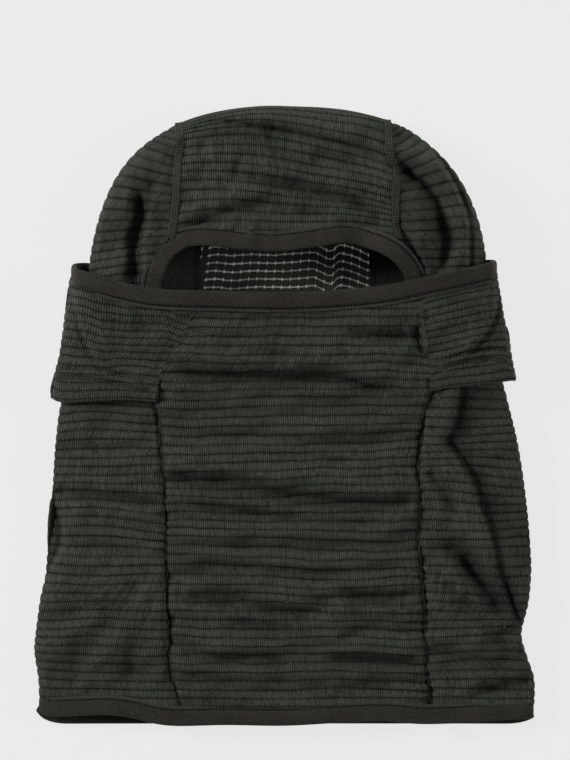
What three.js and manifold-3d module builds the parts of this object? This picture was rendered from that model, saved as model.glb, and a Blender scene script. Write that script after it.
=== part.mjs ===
// Hinged balaclava laid flat on its back: crown towards +Y, face opening up (+Z), millimetres.
// The hood and the neck are one flattened bag of cut panels. The mask lies over them on the front
// and slides down towards the hem.
import * as THREE from "three";
import { mergeVertices } from "three/addons/utils/BufferGeometryUtils.js";
import Module from "manifold-3d";

const wasm = await Module();
wasm.setup();

// ---- Driving dimensions ----
const fabric = 2; // thickness of the grid fleece
const gap = 0.3; // clearance between pieces that are sewn edge to edge
const seamWidth = 4; // a flatlock seam
const bindingWidth = 11.6;
const bindingSwell = 0.8; // how far a binding stands proud of the fabric on each side
const stitchWidth = 1.6;
const stitchHeight = 0.5;

const bagLength = 372; // hem to crown, laid flat
const hoodHalfWidth = 120;
const neckHalfWidth = 134; // just under the mask
const hemHalfWidth = 149;
const crownRise = 126; // length of the rounded end of the hood
const crownPower = 2.4; // superellipse power of the hood outline
const sectionPower = 2.4; // superellipse power of the bag's cross-section, front
const backPower = 5; // the same at the back, which lies flat

const rimHeight = 14; // height of the hood's side edge above the floor
const hemRimHeight = 7;
const hoodHeight = 42; // height of the front of the hood above the floor
const neckHeight = 30;
const hemHeight = 17;
const backPress = 1.5; // how far the back is pressed flat by its own weight

const crownSeamFront = 65; // crown seam to the middle line, at the front
const crownSeamBack = 51; // the same at the back
const hingeDistance = 209; // hem to the seam that joins hood and neck
const frontHalfWidth = 77; // ruched front panel, between its seams
const frontShift = 4.5; // the front lies this far towards +X
const backHalfWidth = 58; // back panel of the neck
const elasticWidth = 6;
const elasticThickness = 0.7;

const openingHalfWidth = 73; // face opening, inside its binding
const openingTop = 288; // hem to the top of the opening, inside its binding
const openingPower = 3.2;
const openingSpringing = 250; // hem to where the arch of the opening starts to curve in

const maskClearance = 2.6; // wings and binding above the hood and neck that they slide over
const maskSeat = 0.5; // front panel of the mask above the neck panel that it laps over
const maskTopHalfWidth = 129;
const maskWingHalfWidth = 139;
const maskMiddleDistance = 248.5; // hem to the lower edge of the mask binding at the middle
const maskBindingRise = 17; // how much higher the binding lies at the sides
const maskLap = 4; // how far the mask's front panel laps over the neck's
const wingBottomDistance = 195.5;
const wingInnerTop = 62; // inner edge of a wing to the panel's middle line, at its top
const wingInnerBottom = 77;
const wingSeamDistance = 213;
const wingEdgeHeight = 24; // height of a wing's outer edge above the floor
const wingPower = 4;

const labelWidth = 22;
const labelLength = 34;
const labelDistance = 40; // hem to the lower edge of the care label

// ---- Derived places ----
const hemY = -bagLength / 2;
const crownY = bagLength / 2;
const crownCentreY = crownY - crownRise;
const hingeY = hemY + hingeDistance;
const wingTopY = hemY + maskMiddleDistance + maskBindingRise + bindingWidth + 2;
const wingBottomY = hemY + wingBottomDistance;
const widestY = hingeY - 13; // where the hood's width has run out into the neck's
const panelHemY = hemY + bindingWidth + gap;
const reach = 400; // cutting blocks run well past the garment
const ringSides = 32;

const smooth = (t) => {
  const s = Math.min(1, Math.max(0, t));
  return s * s * (3 - 2 * s);
};
const between = (a, b, t) => a + (b - a) * t;
const arch = (t, power) => Math.pow(Math.max(0, 1 - Math.pow(Math.abs(t), power)), 1 / power);
const power = (value, exponent) => Math.sign(value) * Math.pow(Math.abs(value), exponent);

// ---- The bag: widths and heights along Y, each inset by a distance from the outside ----
function bagHalfWidth(y, inset) {
  if (y > crownCentreY) {
    const t = (y - crownCentreY) / (crownRise - inset);
    return (hoodHalfWidth - inset) * arch(Math.min(1, t), crownPower);
  }
  if (y > widestY) {
    const t = smooth((crownCentreY - y) / (crownCentreY - widestY));
    return between(hoodHalfWidth, neckHalfWidth, t) - inset;
  }
  return between(neckHalfWidth, hemHalfWidth, (widestY - y) / (widestY - hemY)) - inset;
}

function bagRim(y) {
  return between(hemRimHeight, rimHeight, smooth((y - hemY) / (hingeY - hemY)));
}

function bagFrontHeight(y) {
  if (y > hingeY) {
    return between(neckHeight, hoodHeight, smooth((y - hingeY) / (crownCentreY + 30 - hingeY)));
  }
  return between(hemHeight, neckHeight, (y - hemY) / (hingeY - hemY));
}

function crownFade(y, inset, fadePower) {
  return y > crownCentreY ? arch(Math.min(1, (y - crownCentreY) / (crownRise - inset)), fadePower) : 1;
}

// Point of the bag's cross-section at y. turn 0 is the +X edge, and turns run up over the front.
function bagPoint(y, turn, inset) {
  const angle = turn * 2 * Math.PI;
  const rise = Math.sin(angle);
  const roundness = rise >= 0 ? sectionPower : backPower;
  const x = bagHalfWidth(y, inset) * power(Math.cos(angle), 2 / roundness);
  const front = (bagFrontHeight(y) - bagRim(y) - inset) * crownFade(y, inset, crownPower);
  const back = (bagRim(y) + backPress - inset) * crownFade(y, inset, backPower);
  const z = bagRim(y) + (rise >= 0 ? front : back) * power(rise, 2 / roundness);
  return new THREE.Vector3(x, y, Math.max(z, Math.max(inset, 0)));
}

// ---- Solids ----
function solidFrom(positions, index) {
  const geometry = new THREE.BufferGeometry();
  geometry.setAttribute("position", new THREE.Float32BufferAttribute(positions, 3));
  geometry.setIndex(index);
  return solidOf(geometry);
}

function solidOf(geometry) {
  const bare = new THREE.BufferGeometry();
  bare.setAttribute("position", geometry.getAttribute("position"));
  bare.setIndex(geometry.getIndex());
  const merged = mergeVertices(bare, 1e-4);
  return new wasm.Manifold(
    new wasm.Mesh({
      numProp: 3,
      vertProperties: merged.getAttribute("position").array,
      triVerts: new Uint32Array(merged.getIndex().array),
    }),
  );
}

// A closed bag from y = low up to its rounded end, inset from the outside of the garment.
function bagSolid(low, inset) {
  const straight = 12;
  const rounded = 10;
  const top = crownY - inset;
  const stations = [];
  for (let i = 0; i < straight; i++) stations.push(between(low, crownCentreY, i / straight));
  for (let i = 0; i < rounded; i++) {
    stations.push(crownCentreY + (top - crownCentreY) * Math.sin((i / rounded) * (Math.PI / 2)));
  }
  const positions = [];
  for (const y of stations) {
    for (let k = 0; k < ringSides; k++) positions.push(...bagPoint(y, k / ringSides, inset).toArray());
  }
  const pole = positions.length / 3;
  positions.push(0, top, bagRim(top), 0, low, bagRim(low));
  const index = [];
  const last = (stations.length - 1) * ringSides;
  for (let k = 0; k < ringSides; k++) {
    const next = (k + 1) % ringSides;
    for (let i = 0; i < last; i += ringSides) {
      index.push(i + k, i + ringSides + k, i + next);
      index.push(i + next, i + ringSides + k, i + ringSides + next);
    }
    index.push(last + k, pole, last + next);
    index.push(k, next, pole + 1);
  }
  return solidFrom(positions, index);
}

// The wall of the bag between two insets, open at the hem.
function bagWall(outerInset, innerInset) {
  return bagSolid(hemY - 2, outerInset).subtract(bagSolid(hemY - 4, innerInset));
}

// A block between two corners.
function block(low, high) {
  const size = new THREE.Vector3().subVectors(high, low);
  const geometry = new THREE.BoxGeometry(size.x, size.y, size.z);
  geometry.translate((low.x + high.x) / 2, (low.y + high.y) / 2, (low.z + high.z) / 2);
  return solidOf(geometry);
}

const alongY = (low, high) =>
  block(new THREE.Vector3(-reach, low, -reach), new THREE.Vector3(reach, high, reach));

// An outline in the XY plane, standing up from z = low to z = high.
function upright(points, low, high) {
  const shape = new THREE.Shape(points.map(([x, y]) => new THREE.Vector2(x, y)));
  const geometry = new THREE.ExtrudeGeometry(shape, { depth: high - low, bevelEnabled: false });
  geometry.translate(0, 0, low);
  return solidOf(geometry);
}

// Between two leaning planes: each side is given by its x at the front height and at the floor.
function leaningSlab(frontLow, backLow, frontHigh, backHigh) {
  const lift = hoodHeight;
  const at = (front, back, z) => between(back, front, z / lift);
  const low = -lift;
  const high = 2 * lift;
  const shape = new THREE.Shape([
    new THREE.Vector2(at(frontLow, backLow, low), low),
    new THREE.Vector2(at(frontHigh, backHigh, low), low),
    new THREE.Vector2(at(frontHigh, backHigh, high), high),
    new THREE.Vector2(at(frontLow, backLow, high), high),
  ]);
  const geometry = new THREE.ExtrudeGeometry(shape, { depth: 2 * reach, bevelEnabled: false });
  geometry.translate(0, 0, -reach);
  geometry.rotateX(Math.PI / 2);
  return solidOf(geometry);
}

// ---- Outline of the face opening, grown by a distance ----
function openingOutline(grow) {
  const spring = hemY + openingSpringing;
  const width = openingHalfWidth + grow;
  const rise = openingTop - openingSpringing + grow;
  const steps = 20;
  const points = [];
  for (let i = 0; i <= steps; i++) {
    const angle = (i / steps) * Math.PI;
    const x = width * power(Math.cos(angle), 2 / openingPower);
    points.push([x, spring + rise * power(Math.sin(angle), 2 / openingPower)]);
  }
  points.push([-width, hingeY - grow]);
  points.push([width, hingeY - grow]);
  return points;
}

const openingBlock = (grow) => upright(openingOutline(grow), rimHeight, 2 * hoodHeight);

// ---- The mask: a sheet over the front, its outer edges turned down ----
function maskHalfWidth(y) {
  return between(maskWingHalfWidth, maskTopHalfWidth, smooth((y - wingBottomY) / (wingTopY - wingBottomY)));
}

function maskClearanceAt(x) {
  const wing = openingHalfWidth - frontShift;
  const start = wing * 0.7;
  return between(maskSeat, maskClearance, smooth((Math.abs(x) - start) / (wing - start)));
}

function maskPoint(across, y, lift) {
  const angle = (across * Math.PI) / 2;
  const x = maskHalfWidth(y) * power(Math.sin(angle), 2 / wingPower);
  const crest = bagFrontHeight(y) + maskClearanceAt(x) + fabric;
  const z = wingEdgeHeight + (crest - wingEdgeHeight) * power(Math.cos(angle), 2 / wingPower);
  return new THREE.Vector3(x + Math.sign(across) * lift * Math.abs(across) ** 6, y, z + lift);
}

// The mask's sheet from a height under its top face to a height over it.
function maskSheet(under, over) {
  const columns = 26;
  const rows = 8;
  const positions = [];
  for (const lift of [over, under]) {
    for (let j = 0; j <= rows; j++) {
      const y = between(wingBottomY, wingTopY, j / rows);
      for (let i = 0; i <= columns; i++) {
        positions.push(...maskPoint(between(-1, 1, i / columns), y, lift).toArray());
      }
    }
  }
  const width = columns + 1;
  const layer = width * (rows + 1);
  const index = [];
  const quad = (a, b, c, d) => index.push(a, b, c, a, c, d);
  for (let j = 0; j < rows; j++) {
    for (let i = 0; i < columns; i++) {
      const a = j * width + i;
      quad(a, a + 1, a + width + 1, a + width);
      quad(layer + a, layer + a + width, layer + a + width + 1, layer + a + 1);
    }
    const left = j * width;
    const right = left + columns;
    quad(left, left + width, layer + left + width, layer + left);
    quad(right, layer + right, layer + right + width, right + width);
  }
  for (let i = 0; i < columns; i++) {
    const top = rows * width + i;
    quad(i, layer + i, layer + i + 1, i + 1);
    quad(top, top + 1, layer + top + 1, layer + top);
  }
  return solidFrom(positions, index);
}

// The mask binding's curved band in the XY plane: its edges at a distance from its lower edge.
function bindingCurve(x) {
  const t = x / maskTopHalfWidth;
  return hemY + maskMiddleDistance + maskBindingRise * t * t;
}

function bindingBand(low, high) {
  const steps = 14;
  const span = maskWingHalfWidth + 10;
  const points = [];
  for (let i = 0; i <= steps; i++) {
    const x = between(-span, span, i / steps);
    points.push([x, bindingCurve(x) + low]);
  }
  for (let i = steps; i >= 0; i--) {
    const x = between(-span, span, i / steps);
    points.push([x, bindingCurve(x) + high]);
  }
  return upright(points, 0, 2 * hoodHeight);
}

// Region beside the wing's inner edge, side -1 for left and 1 for right, inset by a distance.
function wingRegion(side, inset) {
  const top = hemY + maskMiddleDistance + maskBindingRise;
  const bottom = wingBottomY - 5;
  const edge = (x) => side * (x + inset) + frontShift;
  const outline = [[edge(wingInnerTop), top], [edge(wingInnerBottom), bottom]];
  outline.push([side * reach, bottom], [side * reach, reach], [edge(wingInnerTop), reach]);
  return upright(outline, 0, 2 * hoodHeight);
}

// ---- Materials ----
const grid = { color: 0x2f332d, roughness: 0.92, metalness: 0 };
const binding = { color: 0x33332e, roughness: 0.86, metalness: 0 };
const thread = { color: 0x2a2d28, roughness: 0.7, metalness: 0 };
const elastic = { color: 0xb9bcb6, roughness: 0.4, metalness: 0 };
const label = { color: 0x8f928c, roughness: 0.8, metalness: 0 };

const group = new THREE.Group();

function add(name, solid, finish) {
  const mesh = solid.getMesh();
  const geometry = new THREE.BufferGeometry();
  geometry.setAttribute("position", new THREE.BufferAttribute(mesh.vertProperties, mesh.numProp));
  geometry.setIndex(new THREE.BufferAttribute(mesh.triVerts, 1));
  geometry.computeVertexNormals();
  const piece = new THREE.Mesh(geometry, new THREE.MeshStandardMaterial(finish));
  piece.name = name;
  group.add(piece);
}

// ---- Regions shared by neighbours ----
const wall = bagWall(0, fabric);
const halfSeam = seamWidth / 2;
const hoodRange = alongY(hingeY + halfSeam + gap, crownY + 5);
const neckRange = alongY(panelHemY, hingeY - halfSeam - gap);
const above = (low) => block(new THREE.Vector3(-reach, -reach, low), new THREE.Vector3(reach, reach, reach));

function crownSeamSlab(side, inner, outer) {
  const a = [side * (crownSeamFront + inner), side * (crownSeamBack + inner)];
  const b = [side * (crownSeamFront + outer), side * (crownSeamBack + outer)];
  return side > 0 ? leaningSlab(...a, ...b) : leaningSlab(...b, ...a);
}

function hood() {
  const shell = wall.intersect(hoodRange).subtract(openingBlock(bindingWidth + gap));
  const inner = halfSeam + gap;
  const middle = leaningSlab(
    inner - crownSeamFront,
    inner - crownSeamBack,
    crownSeamFront - inner,
    crownSeamBack - inner,
  );
  add("crown_back_panel", shell.intersect(middle), grid);
  for (const [side, word] of [[-1, "left"], [1, "right"]]) {
    add("hood_side_" + word, shell.intersect(crownSeamSlab(side, inner, reach)), grid);
    add("crown_seam_" + word, shell.intersect(crownSeamSlab(side, -halfSeam, halfSeam)), thread);
  }
}

function openingBinding() {
  const band = openingBlock(bindingWidth).subtract(openingBlock(0));
  const range = alongY(hingeY + halfSeam + gap, crownY);
  const swollen = bagWall(-bindingSwell, fabric + bindingSwell);
  add("opening_binding", swollen.intersect(band).intersect(range), binding);
  const low = bindingSwell + gap;
  const row = openingBlock(bindingWidth - stitchWidth).subtract(openingBlock(bindingWidth - 2 * stitchWidth));
  const stitches = bagWall(-low - stitchHeight, -low).intersect(row).intersect(range);
  add("opening_coverstitch", stitches, thread);
}

// The seam between hood and neck: from one end of the opening round the back to the other.
function hingeSeam() {
  const ring = wall.intersect(alongY(hingeY - halfSeam, hingeY + halfSeam));
  add("hinge_seam", ring.subtract(openingBlock(bindingWidth + gap)), thread);
}

// Region of the neck's front between two distances from the front panel's middle line.
function frontStrip(low, high) {
  return block(
    new THREE.Vector3(low + frontShift, -reach, hemRimHeight),
    new THREE.Vector3(high + frontShift, reach, reach),
  );
}

function backStrip(low, high) {
  return block(new THREE.Vector3(low, -reach, -reach), new THREE.Vector3(high, reach, hemRimHeight));
}

function neck() {
  const shell = wall.intersect(neckRange);
  const clear = halfSeam + gap;
  const front = frontStrip(clear - frontHalfWidth, frontHalfWidth - clear);
  const back = backStrip(clear - backHalfWidth, backHalfWidth - clear);
  add("neck_front_panel", shell.intersect(front), grid);
  add("neck_back_panel", shell.intersect(back), grid);
  const middle = frontStrip(-frontHalfWidth - clear, frontHalfWidth + clear);
  const backMiddle = backStrip(-backHalfWidth - clear, backHalfWidth + clear);
  const outside = shell.subtract(middle).subtract(backMiddle);
  for (const [side, word] of [[-1, "left"], [1, "right"]]) {
    const half = block(
      new THREE.Vector3(side > 0 ? frontShift : -reach, -reach, -reach),
      new THREE.Vector3(side > 0 ? reach : frontShift, reach, reach),
    );
    add("neck_side_" + word, outside.intersect(half), grid);
    const at = side * frontHalfWidth;
    const seam = frontStrip(at - halfSeam, at + halfSeam);
    add("ruched_seam_" + word, shell.intersect(seam), thread);
    const backAt = side * backHalfWidth;
    const backSeam = backStrip(backAt - halfSeam, backAt + halfSeam);
    add("back_seam_" + word, shell.intersect(backSeam), thread);
    const inside = bagWall(fabric + gap, fabric + gap + elasticThickness).intersect(neckRange);
    const tape = frontStrip(at - elasticWidth / 2, at + elasticWidth / 2);
    add("ruche_elastic_" + word, inside.intersect(tape), elastic);
  }
}

function hem() {
  const ring = bagWall(-bindingSwell, fabric + bindingSwell).intersect(alongY(hemY, hemY + bindingWidth));
  add("hem_binding", ring, binding);
  const low = bindingSwell + gap;
  const rowHigh = hemY + bindingWidth - stitchWidth;
  const row = bagWall(-low - stitchHeight, -low).intersect(alongY(rowHigh - stitchWidth, rowHigh));
  add("hem_coverstitch", row.intersect(above(hemRimHeight)), thread);
}

function careLabel() {
  const y = hemY + labelDistance;
  const low = fabric + gap;
  const corner = new THREE.Vector3(-labelWidth / 2, y, low);
  const far = new THREE.Vector3(labelWidth / 2, y + labelLength, low + stitchHeight);
  add("care_label", block(corner, far), label);
}

function mask() {
  const clear = gap / 2;
  const below = bindingBand(-reach / 2, -gap);
  const cloth = maskSheet(-fabric, 0).intersect(below);
  const wings = [-1, 1].map((side) => wingRegion(side, clear));
  const centreRange = alongY(hingeY - halfSeam - gap - maskLap, reach);
  const bothWings = wingRegion(-1, -clear).add(wingRegion(1, -clear));
  add("mask_front_panel", cloth.intersect(centreRange).subtract(bothWings), grid);
  const words = ["left", "right"];
  wings.forEach((region, i) => add("mask_wing_" + words[i], cloth.intersect(region), grid));
  const seamY = hemY + wingSeamDistance;
  const rows = maskSheet(gap, gap + stitchHeight).intersect(alongY(seamY, seamY + seamWidth));
  wings.forEach((region, i) => add("wing_seam_" + words[i], rows.intersect(region), thread));
  const swollen = maskSheet(-fabric - bindingSwell, bindingSwell);
  add("mask_binding", swollen.intersect(bindingBand(0, bindingWidth)), binding);
  const lift = bindingSwell + gap;
  const row = maskSheet(lift, lift + stitchHeight).intersect(bindingBand(stitchWidth, 2 * stitchWidth));
  add("mask_coverstitch", row, thread);
}

hood();
openingBinding();
hingeSeam();
neck();
hem();
careLabel();
mask();

export default group;
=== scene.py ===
"""Looks of a hinged balaclava laid flat: knit panels, bindings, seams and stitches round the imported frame.

Shapes are worked out in millimetres and turned into metres when a mesh is made.
+Y points to the crown and +Z out of the front.
"""

import logging
import math
from dataclasses import dataclass
from enum import Enum
from typing import Any, Callable, Sequence

import bpy
import numpy as np
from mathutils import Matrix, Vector

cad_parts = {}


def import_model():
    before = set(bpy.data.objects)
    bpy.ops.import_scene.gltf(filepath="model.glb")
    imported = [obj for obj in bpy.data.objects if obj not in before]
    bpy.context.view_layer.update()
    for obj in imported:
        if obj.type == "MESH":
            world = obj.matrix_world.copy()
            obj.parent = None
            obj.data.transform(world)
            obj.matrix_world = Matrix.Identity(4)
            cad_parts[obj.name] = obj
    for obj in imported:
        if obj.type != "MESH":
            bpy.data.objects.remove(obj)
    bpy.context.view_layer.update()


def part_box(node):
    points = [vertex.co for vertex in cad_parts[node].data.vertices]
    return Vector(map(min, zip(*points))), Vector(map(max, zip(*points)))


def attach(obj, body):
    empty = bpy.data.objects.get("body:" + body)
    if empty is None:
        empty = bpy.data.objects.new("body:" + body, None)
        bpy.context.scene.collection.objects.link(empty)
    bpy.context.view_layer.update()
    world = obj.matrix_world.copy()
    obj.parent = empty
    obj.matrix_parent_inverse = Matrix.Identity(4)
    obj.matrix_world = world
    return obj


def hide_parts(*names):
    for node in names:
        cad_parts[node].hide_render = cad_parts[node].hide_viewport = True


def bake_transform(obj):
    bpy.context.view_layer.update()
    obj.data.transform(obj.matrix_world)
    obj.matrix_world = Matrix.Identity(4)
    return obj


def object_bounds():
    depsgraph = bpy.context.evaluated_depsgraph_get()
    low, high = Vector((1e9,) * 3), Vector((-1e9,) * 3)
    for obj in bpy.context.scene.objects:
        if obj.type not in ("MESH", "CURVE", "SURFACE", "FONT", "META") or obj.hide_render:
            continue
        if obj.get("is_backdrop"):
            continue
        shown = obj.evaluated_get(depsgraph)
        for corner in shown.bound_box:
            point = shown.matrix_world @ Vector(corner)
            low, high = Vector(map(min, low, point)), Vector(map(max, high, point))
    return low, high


Array = np.ndarray
Points = Sequence[tuple[float, float]]
Colour = tuple[float, float, float, float]
Places = Sequence[tuple[float, float, float]]
MM = 0.001
GARMENT, MASK = "garment", "mask"
UV_NAME = "cloth"
# Name of the mesh attribute that holds the painted shade of the folds.
CREASE_SHADE = "crease_shade"
HEM_LINE = -176.0
NECK_TOP = 20.6
HINGE_LINE = 23.0
HOOD_BOTTOM = 25.3
MASK_TOP = 70.0
FULL_TURN = 2 * math.pi
STITCH_SEED = 3
log = logging.getLogger("balaclava")


# ---------------------------------------------------------------- small maths


def smooth(t: Array | float) -> Array:
    """Smooth step from 0 at 0 to 1 at 1."""
    s = np.clip(t, 0.0, 1.0)
    return s * s * (3.0 - 2.0 * s)


def arch(t: Array | float, power: float) -> Array:
    """Height of a superellipse of size 1 at a place t across it."""
    return np.maximum(0.0, 1.0 - np.abs(t) ** power) ** (1.0 / power)


def signed_power(value: Array, exponent: float) -> Array:
    """Power that keeps the sign of its value."""
    return np.sign(value) * np.abs(value) ** exponent


def spline(points: Points, count: int) -> Array:
    """Smooth curve through given points.

    Args:
        points: places that the curve passes through.
        count: samples along it, evenly spaced.

    Returns:
        An array of count places.
    """
    knots = np.array(points, float)
    padded = np.vstack([2 * knots[0] - knots[1], knots, 2 * knots[-1] - knots[-2]])
    pieces = []
    for i in range(1, len(padded) - 2):
        a, b, c, d = padded[i - 1 : i + 3]
        t = np.linspace(0, 1, 16, endpoint=False)[:, None]
        square, cube = 2 * a - 5 * b + 4 * c - d, 3 * b - 3 * c + d - a
        pieces.append(0.5 * (2 * b + (c - a) * t + square * t**2 + cube * t**3))
    curve = np.vstack([*pieces, knots[-1:]])
    steps = arc_lengths(curve)
    places = np.linspace(0, steps[-1], count)
    return np.stack([np.interp(places, steps, curve[:, k]) for k in range(curve.shape[1])], axis=1)


def unit(rows: Array) -> Array:
    """Rows of places turned to length 1."""
    return rows / np.linalg.norm(rows, axis=1)[:, None]


def across_rows(values: Array, like: Array) -> Array:
    """One value for each row, repeated over the columns of another grid."""
    return np.broadcast_to(values[:, None], like.shape)


def arc_lengths(path: Array) -> Array:
    """Length of a line of places up to each place."""
    return np.r_[0, np.cumsum(np.linalg.norm(np.diff(path, axis=0), axis=1))]


@dataclass(frozen=True)
class Profile:
    """A smooth value along one coordinate, set by a few knots."""

    knots: Points

    def at(self, where: Array | float) -> Array:
        """Value at each place, held level past the ends."""
        curve = spline(sorted(self.knots), 240)
        return np.interp(where, curve[:, 0], curve[:, 1])


class Waves:
    """Smooth random waves with a fixed seed, for the unevenness of soft cloth."""

    def __init__(self, seed: int, across: float, along: float, count: int = 24) -> None:
        """Draws the waves.

        Args:
            seed: seed of the draw.
            across: typical wave length in x, mm.
            along: typical wave length in y, mm.
            count: number of waves that are added up.
        """
        draw = np.random.default_rng(seed)
        self.kx = draw.normal(0, 1, count) * 2 * math.pi / across / 1.4
        self.ky = draw.normal(0, 1, count) * 2 * math.pi / along / 1.4
        self.phase = draw.uniform(0, 2 * math.pi, count)
        self.scale = 1.4 / math.sqrt(count)

    def at(self, x: Array, y: Array) -> Array:
        """Height of the waves, about -1 to 1."""
        total = np.zeros(np.broadcast(x, y).shape)
        for kx, ky, phase in zip(self.kx, self.ky, self.phase):
            total += np.sin(kx * x + ky * y + phase)
        return total * self.scale


@dataclass(frozen=True)
class Fold:
    """A fold line laid into cloth.

    A positive depth presses a valley, and a step lifts the cloth on the left of the path, looking along it.
    Both also give painted shade: darker in the valley, and a painted shadow cast on the low side of the step.
    """

    path: Points
    depth: float = 0.0
    width: float = 4.0
    step: float = 0.0
    edge: float = 1.2
    reach: float = 14.0
    fade: float = 0.22

    def measure(self, x: Array, y: Array) -> tuple[Array, Array, Array]:
        """Distance from the path and taper along it.

        Args:
            x: places in x, mm.
            y: places in y, mm.

        Returns:
            A mask of the places near the path, and for those the signed distance and the taper.
        """
        line = spline(self.path, 90)
        tangent = unit(np.gradient(line, axis=0))
        flat_x, flat_y = x.ravel(), y.ravel()
        low, high = line.min(axis=0) - 3 * self.reach, line.max(axis=0) + 3 * self.reach
        near = (flat_x > low[0]) & (flat_x < high[0]) & (flat_y > low[1]) & (flat_y < high[1])
        near_x, near_y = flat_x[near], flat_y[near]
        if near_x.size == 0:
            return near, near_x, near_x
        gap = (near_x[:, None] - line[None, :, 0]) ** 2 + (near_y[:, None] - line[None, :, 1]) ** 2
        nearest = gap.argmin(axis=1)
        away_x, away_y = near_x - line[nearest, 0], near_y - line[nearest, 1]
        side = tangent[nearest, 0] * away_y - tangent[nearest, 1] * away_x
        distance = np.hypot(away_x, away_y)
        along = nearest / (len(line) - 1)
        taper = smooth(along / self.fade) * smooth((1 - along) / self.fade)
        return near, np.where(side >= 0, distance, -distance), taper

    def shape(self, x: Array, y: Array) -> tuple[Array, Array]:
        """Height that the fold adds at each place, mm, and its painted shade, 0 to 1: darker in the valley
        and on the low side of the step.
        """
        near, signed, taper = self.measure(x, y)
        lift, dark = np.zeros(x.size), np.zeros(x.size)
        if signed.size:
            beside = (np.abs(signed) - 2.3 * self.width) / (1.5 * self.width)
            valley = self.depth * (0.42 * np.exp(-(beside**2)) - np.exp(-((signed / self.width) ** 2)))
            raised = 0.5 * (1 + np.tanh(signed / self.edge))
            ridge = self.step * raised * np.exp(-((signed / self.reach) ** 2))
            lift[near] = taper * (valley + ridge)
            # Painted shade: a shadow cast on the low side of a step, and darkening in the valley where shade
            # falls.
            low_side = -signed * (1 if self.step >= 0 else -1)
            shadow = np.exp(-np.maximum(low_side, 0) / (1.2 * abs(self.step) + 0.1))
            cast = np.where(low_side > -self.edge, shadow, 0)
            pressed = np.exp(-((signed / (0.95 * self.width)) ** 2))
            deepest, darkest = min(0.065 * self.depth, 0.6), min(0.085 * abs(self.step), 0.5)
            dark[near] = taper * (deepest * pressed + darkest * cast)
        return lift.reshape(x.shape), dark.reshape(x.shape)


def fold_shapes(folds: Sequence[Fold], x: Array, y: Array) -> tuple[Array, Array]:
    """Sum of the heights that folds add, and their painted shade, 0 to 1."""
    total, light = np.zeros(x.shape), np.ones(x.shape)
    for fold in folds:
        lift, dark = fold.shape(x, y)
        total += lift
        light *= 1 - dark
    return total, 1 - light


def lift_of(folds: Sequence[Fold], x: Array, y: Array) -> Array:
    """Sum of the heights that folds add."""
    return fold_shapes(folds, x, y)[0]


# ---------------------------------------------------------------- the laid garment


@dataclass(frozen=True)
class LaidBag:
    """The flattened bag of hood and neck: its outline and its heights, in mm."""

    hem: float
    crown: float
    hinge: float
    hood_height: float = 42.0
    neck_height: float = 30.0
    hem_height: float = 17.0
    rim_height: float = 14.0
    hem_rim: float = 7.0
    crown_centre: float = 60.0
    left_hood: float = 119.0
    right_hood: float = 122.5
    outline_power: float = 2.6
    front_power: float = 2.4
    back_power: float = 5.0
    press: float = 1.5
    left_neck: Profile = Profile(
        (
            (-186, -146.5), (-176, -148), (-160, -148.8), (-147, -150.8), (-137, -151), (-112, -148),
            (-98, -144.5), (-90, -143.6), (-74, -142.2), (-48, -140), (-16, -138), (10, -134), (36, -124),
            (60, -119),
        )
    )
    right_neck: Profile = Profile(
        (
            (-186, 149), (-172, 150.4), (-158, 150.2), (-146, 146), (-132, 142.6), (-113, 146.5),
            (-97, 148.2), (-83, 148), (-45, 144.6), (-17, 140), (10, 134), (36, 126), (60, 122.5),
        )
    )

    @classmethod
    def from_frame(cls) -> "LaidBag":
        """Takes the bag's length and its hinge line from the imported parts."""
        (_, hem, _), (_, crown, _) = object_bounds()
        (_, low, _), (_, high, _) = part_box("hinge_seam")
        return cls(hem=hem / MM, crown=crown / MM, hinge=(low + high) / 2 / MM)

    @property
    def rise(self) -> float:
        """Length of the rounded end of the hood."""
        return self.crown - self.crown_centre

    def left(self, y: Array | float) -> Array:
        """X of the left edge at y."""
        return np.where(y > self.crown_centre, -self.left_hood * self.fade(y), self.left_neck.at(y))

    def right(self, y: Array | float) -> Array:
        """X of the right edge at y."""
        return np.where(y > self.crown_centre, self.right_hood * self.fade(y), self.right_neck.at(y))

    def middle(self, y: Array) -> Array:
        """X halfway between the edges at y."""
        return (self.left(y) + self.right(y)) / 2

    def half(self, y: Array) -> Array:
        """Half the width at y."""
        return (self.right(y) - self.left(y)) / 2

    def top(self, x: Array) -> Array:
        """Y of the crown's outline over x."""
        half = np.where(x < 0, self.left_hood, self.right_hood)
        return self.crown_centre + self.rise * arch(np.clip(x / half, -1, 1), self.outline_power)

    def rim(self, y: Array) -> Array:
        """Height of the side edge above the floor."""
        share = smooth((y - self.hem) / (self.hinge - self.hem))
        return self.hem_rim + (self.rim_height - self.hem_rim) * share

    def crest(self, y: Array) -> Array:
        """Height of the front's middle above the floor."""
        hood = smooth((y - self.hinge) / (self.crown_centre + 30 - self.hinge))
        neck = (y - self.hem) / (self.hinge - self.hem)
        low = self.hem_height + (self.neck_height - self.hem_height) * neck
        high = self.neck_height + (self.hood_height - self.neck_height) * hood
        return np.where(y > self.hinge, high, low)

    def fade(self, y: Array | float, power: float | None = None) -> Array:
        """What is left of a section's size towards the crown, by the outline's power or another."""
        return arch(np.clip((y - self.crown_centre) / self.rise, 0, 1), power or self.outline_power)

    def across(self, x: Array, y: Array) -> Array:
        """Place of x between the middle line (0) and the edge (1 or -1)."""
        return (x - self.middle(y)) / np.maximum(self.half(y), 1e-6)

    def front(self, x: Array, y: Array) -> Array:
        """Height of the front over (x, y)."""
        shape = arch(np.clip(self.across(x, y), -1, 1), self.front_power) * self.fade(y)
        return self.rim(y) + (self.crest(y) - self.rim(y)) * shape

    def back(self, x: Array, y: Array) -> Array:
        """Height of the back over (x, y)."""
        shape = arch(np.clip(self.across(x, y), -1, 1), self.back_power) * self.fade(y, self.back_power)
        return np.maximum(self.rim(y) - (self.rim(y) + self.press) * shape, 0.0)


# ---------------------------------------------------------------- meshes


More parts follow.
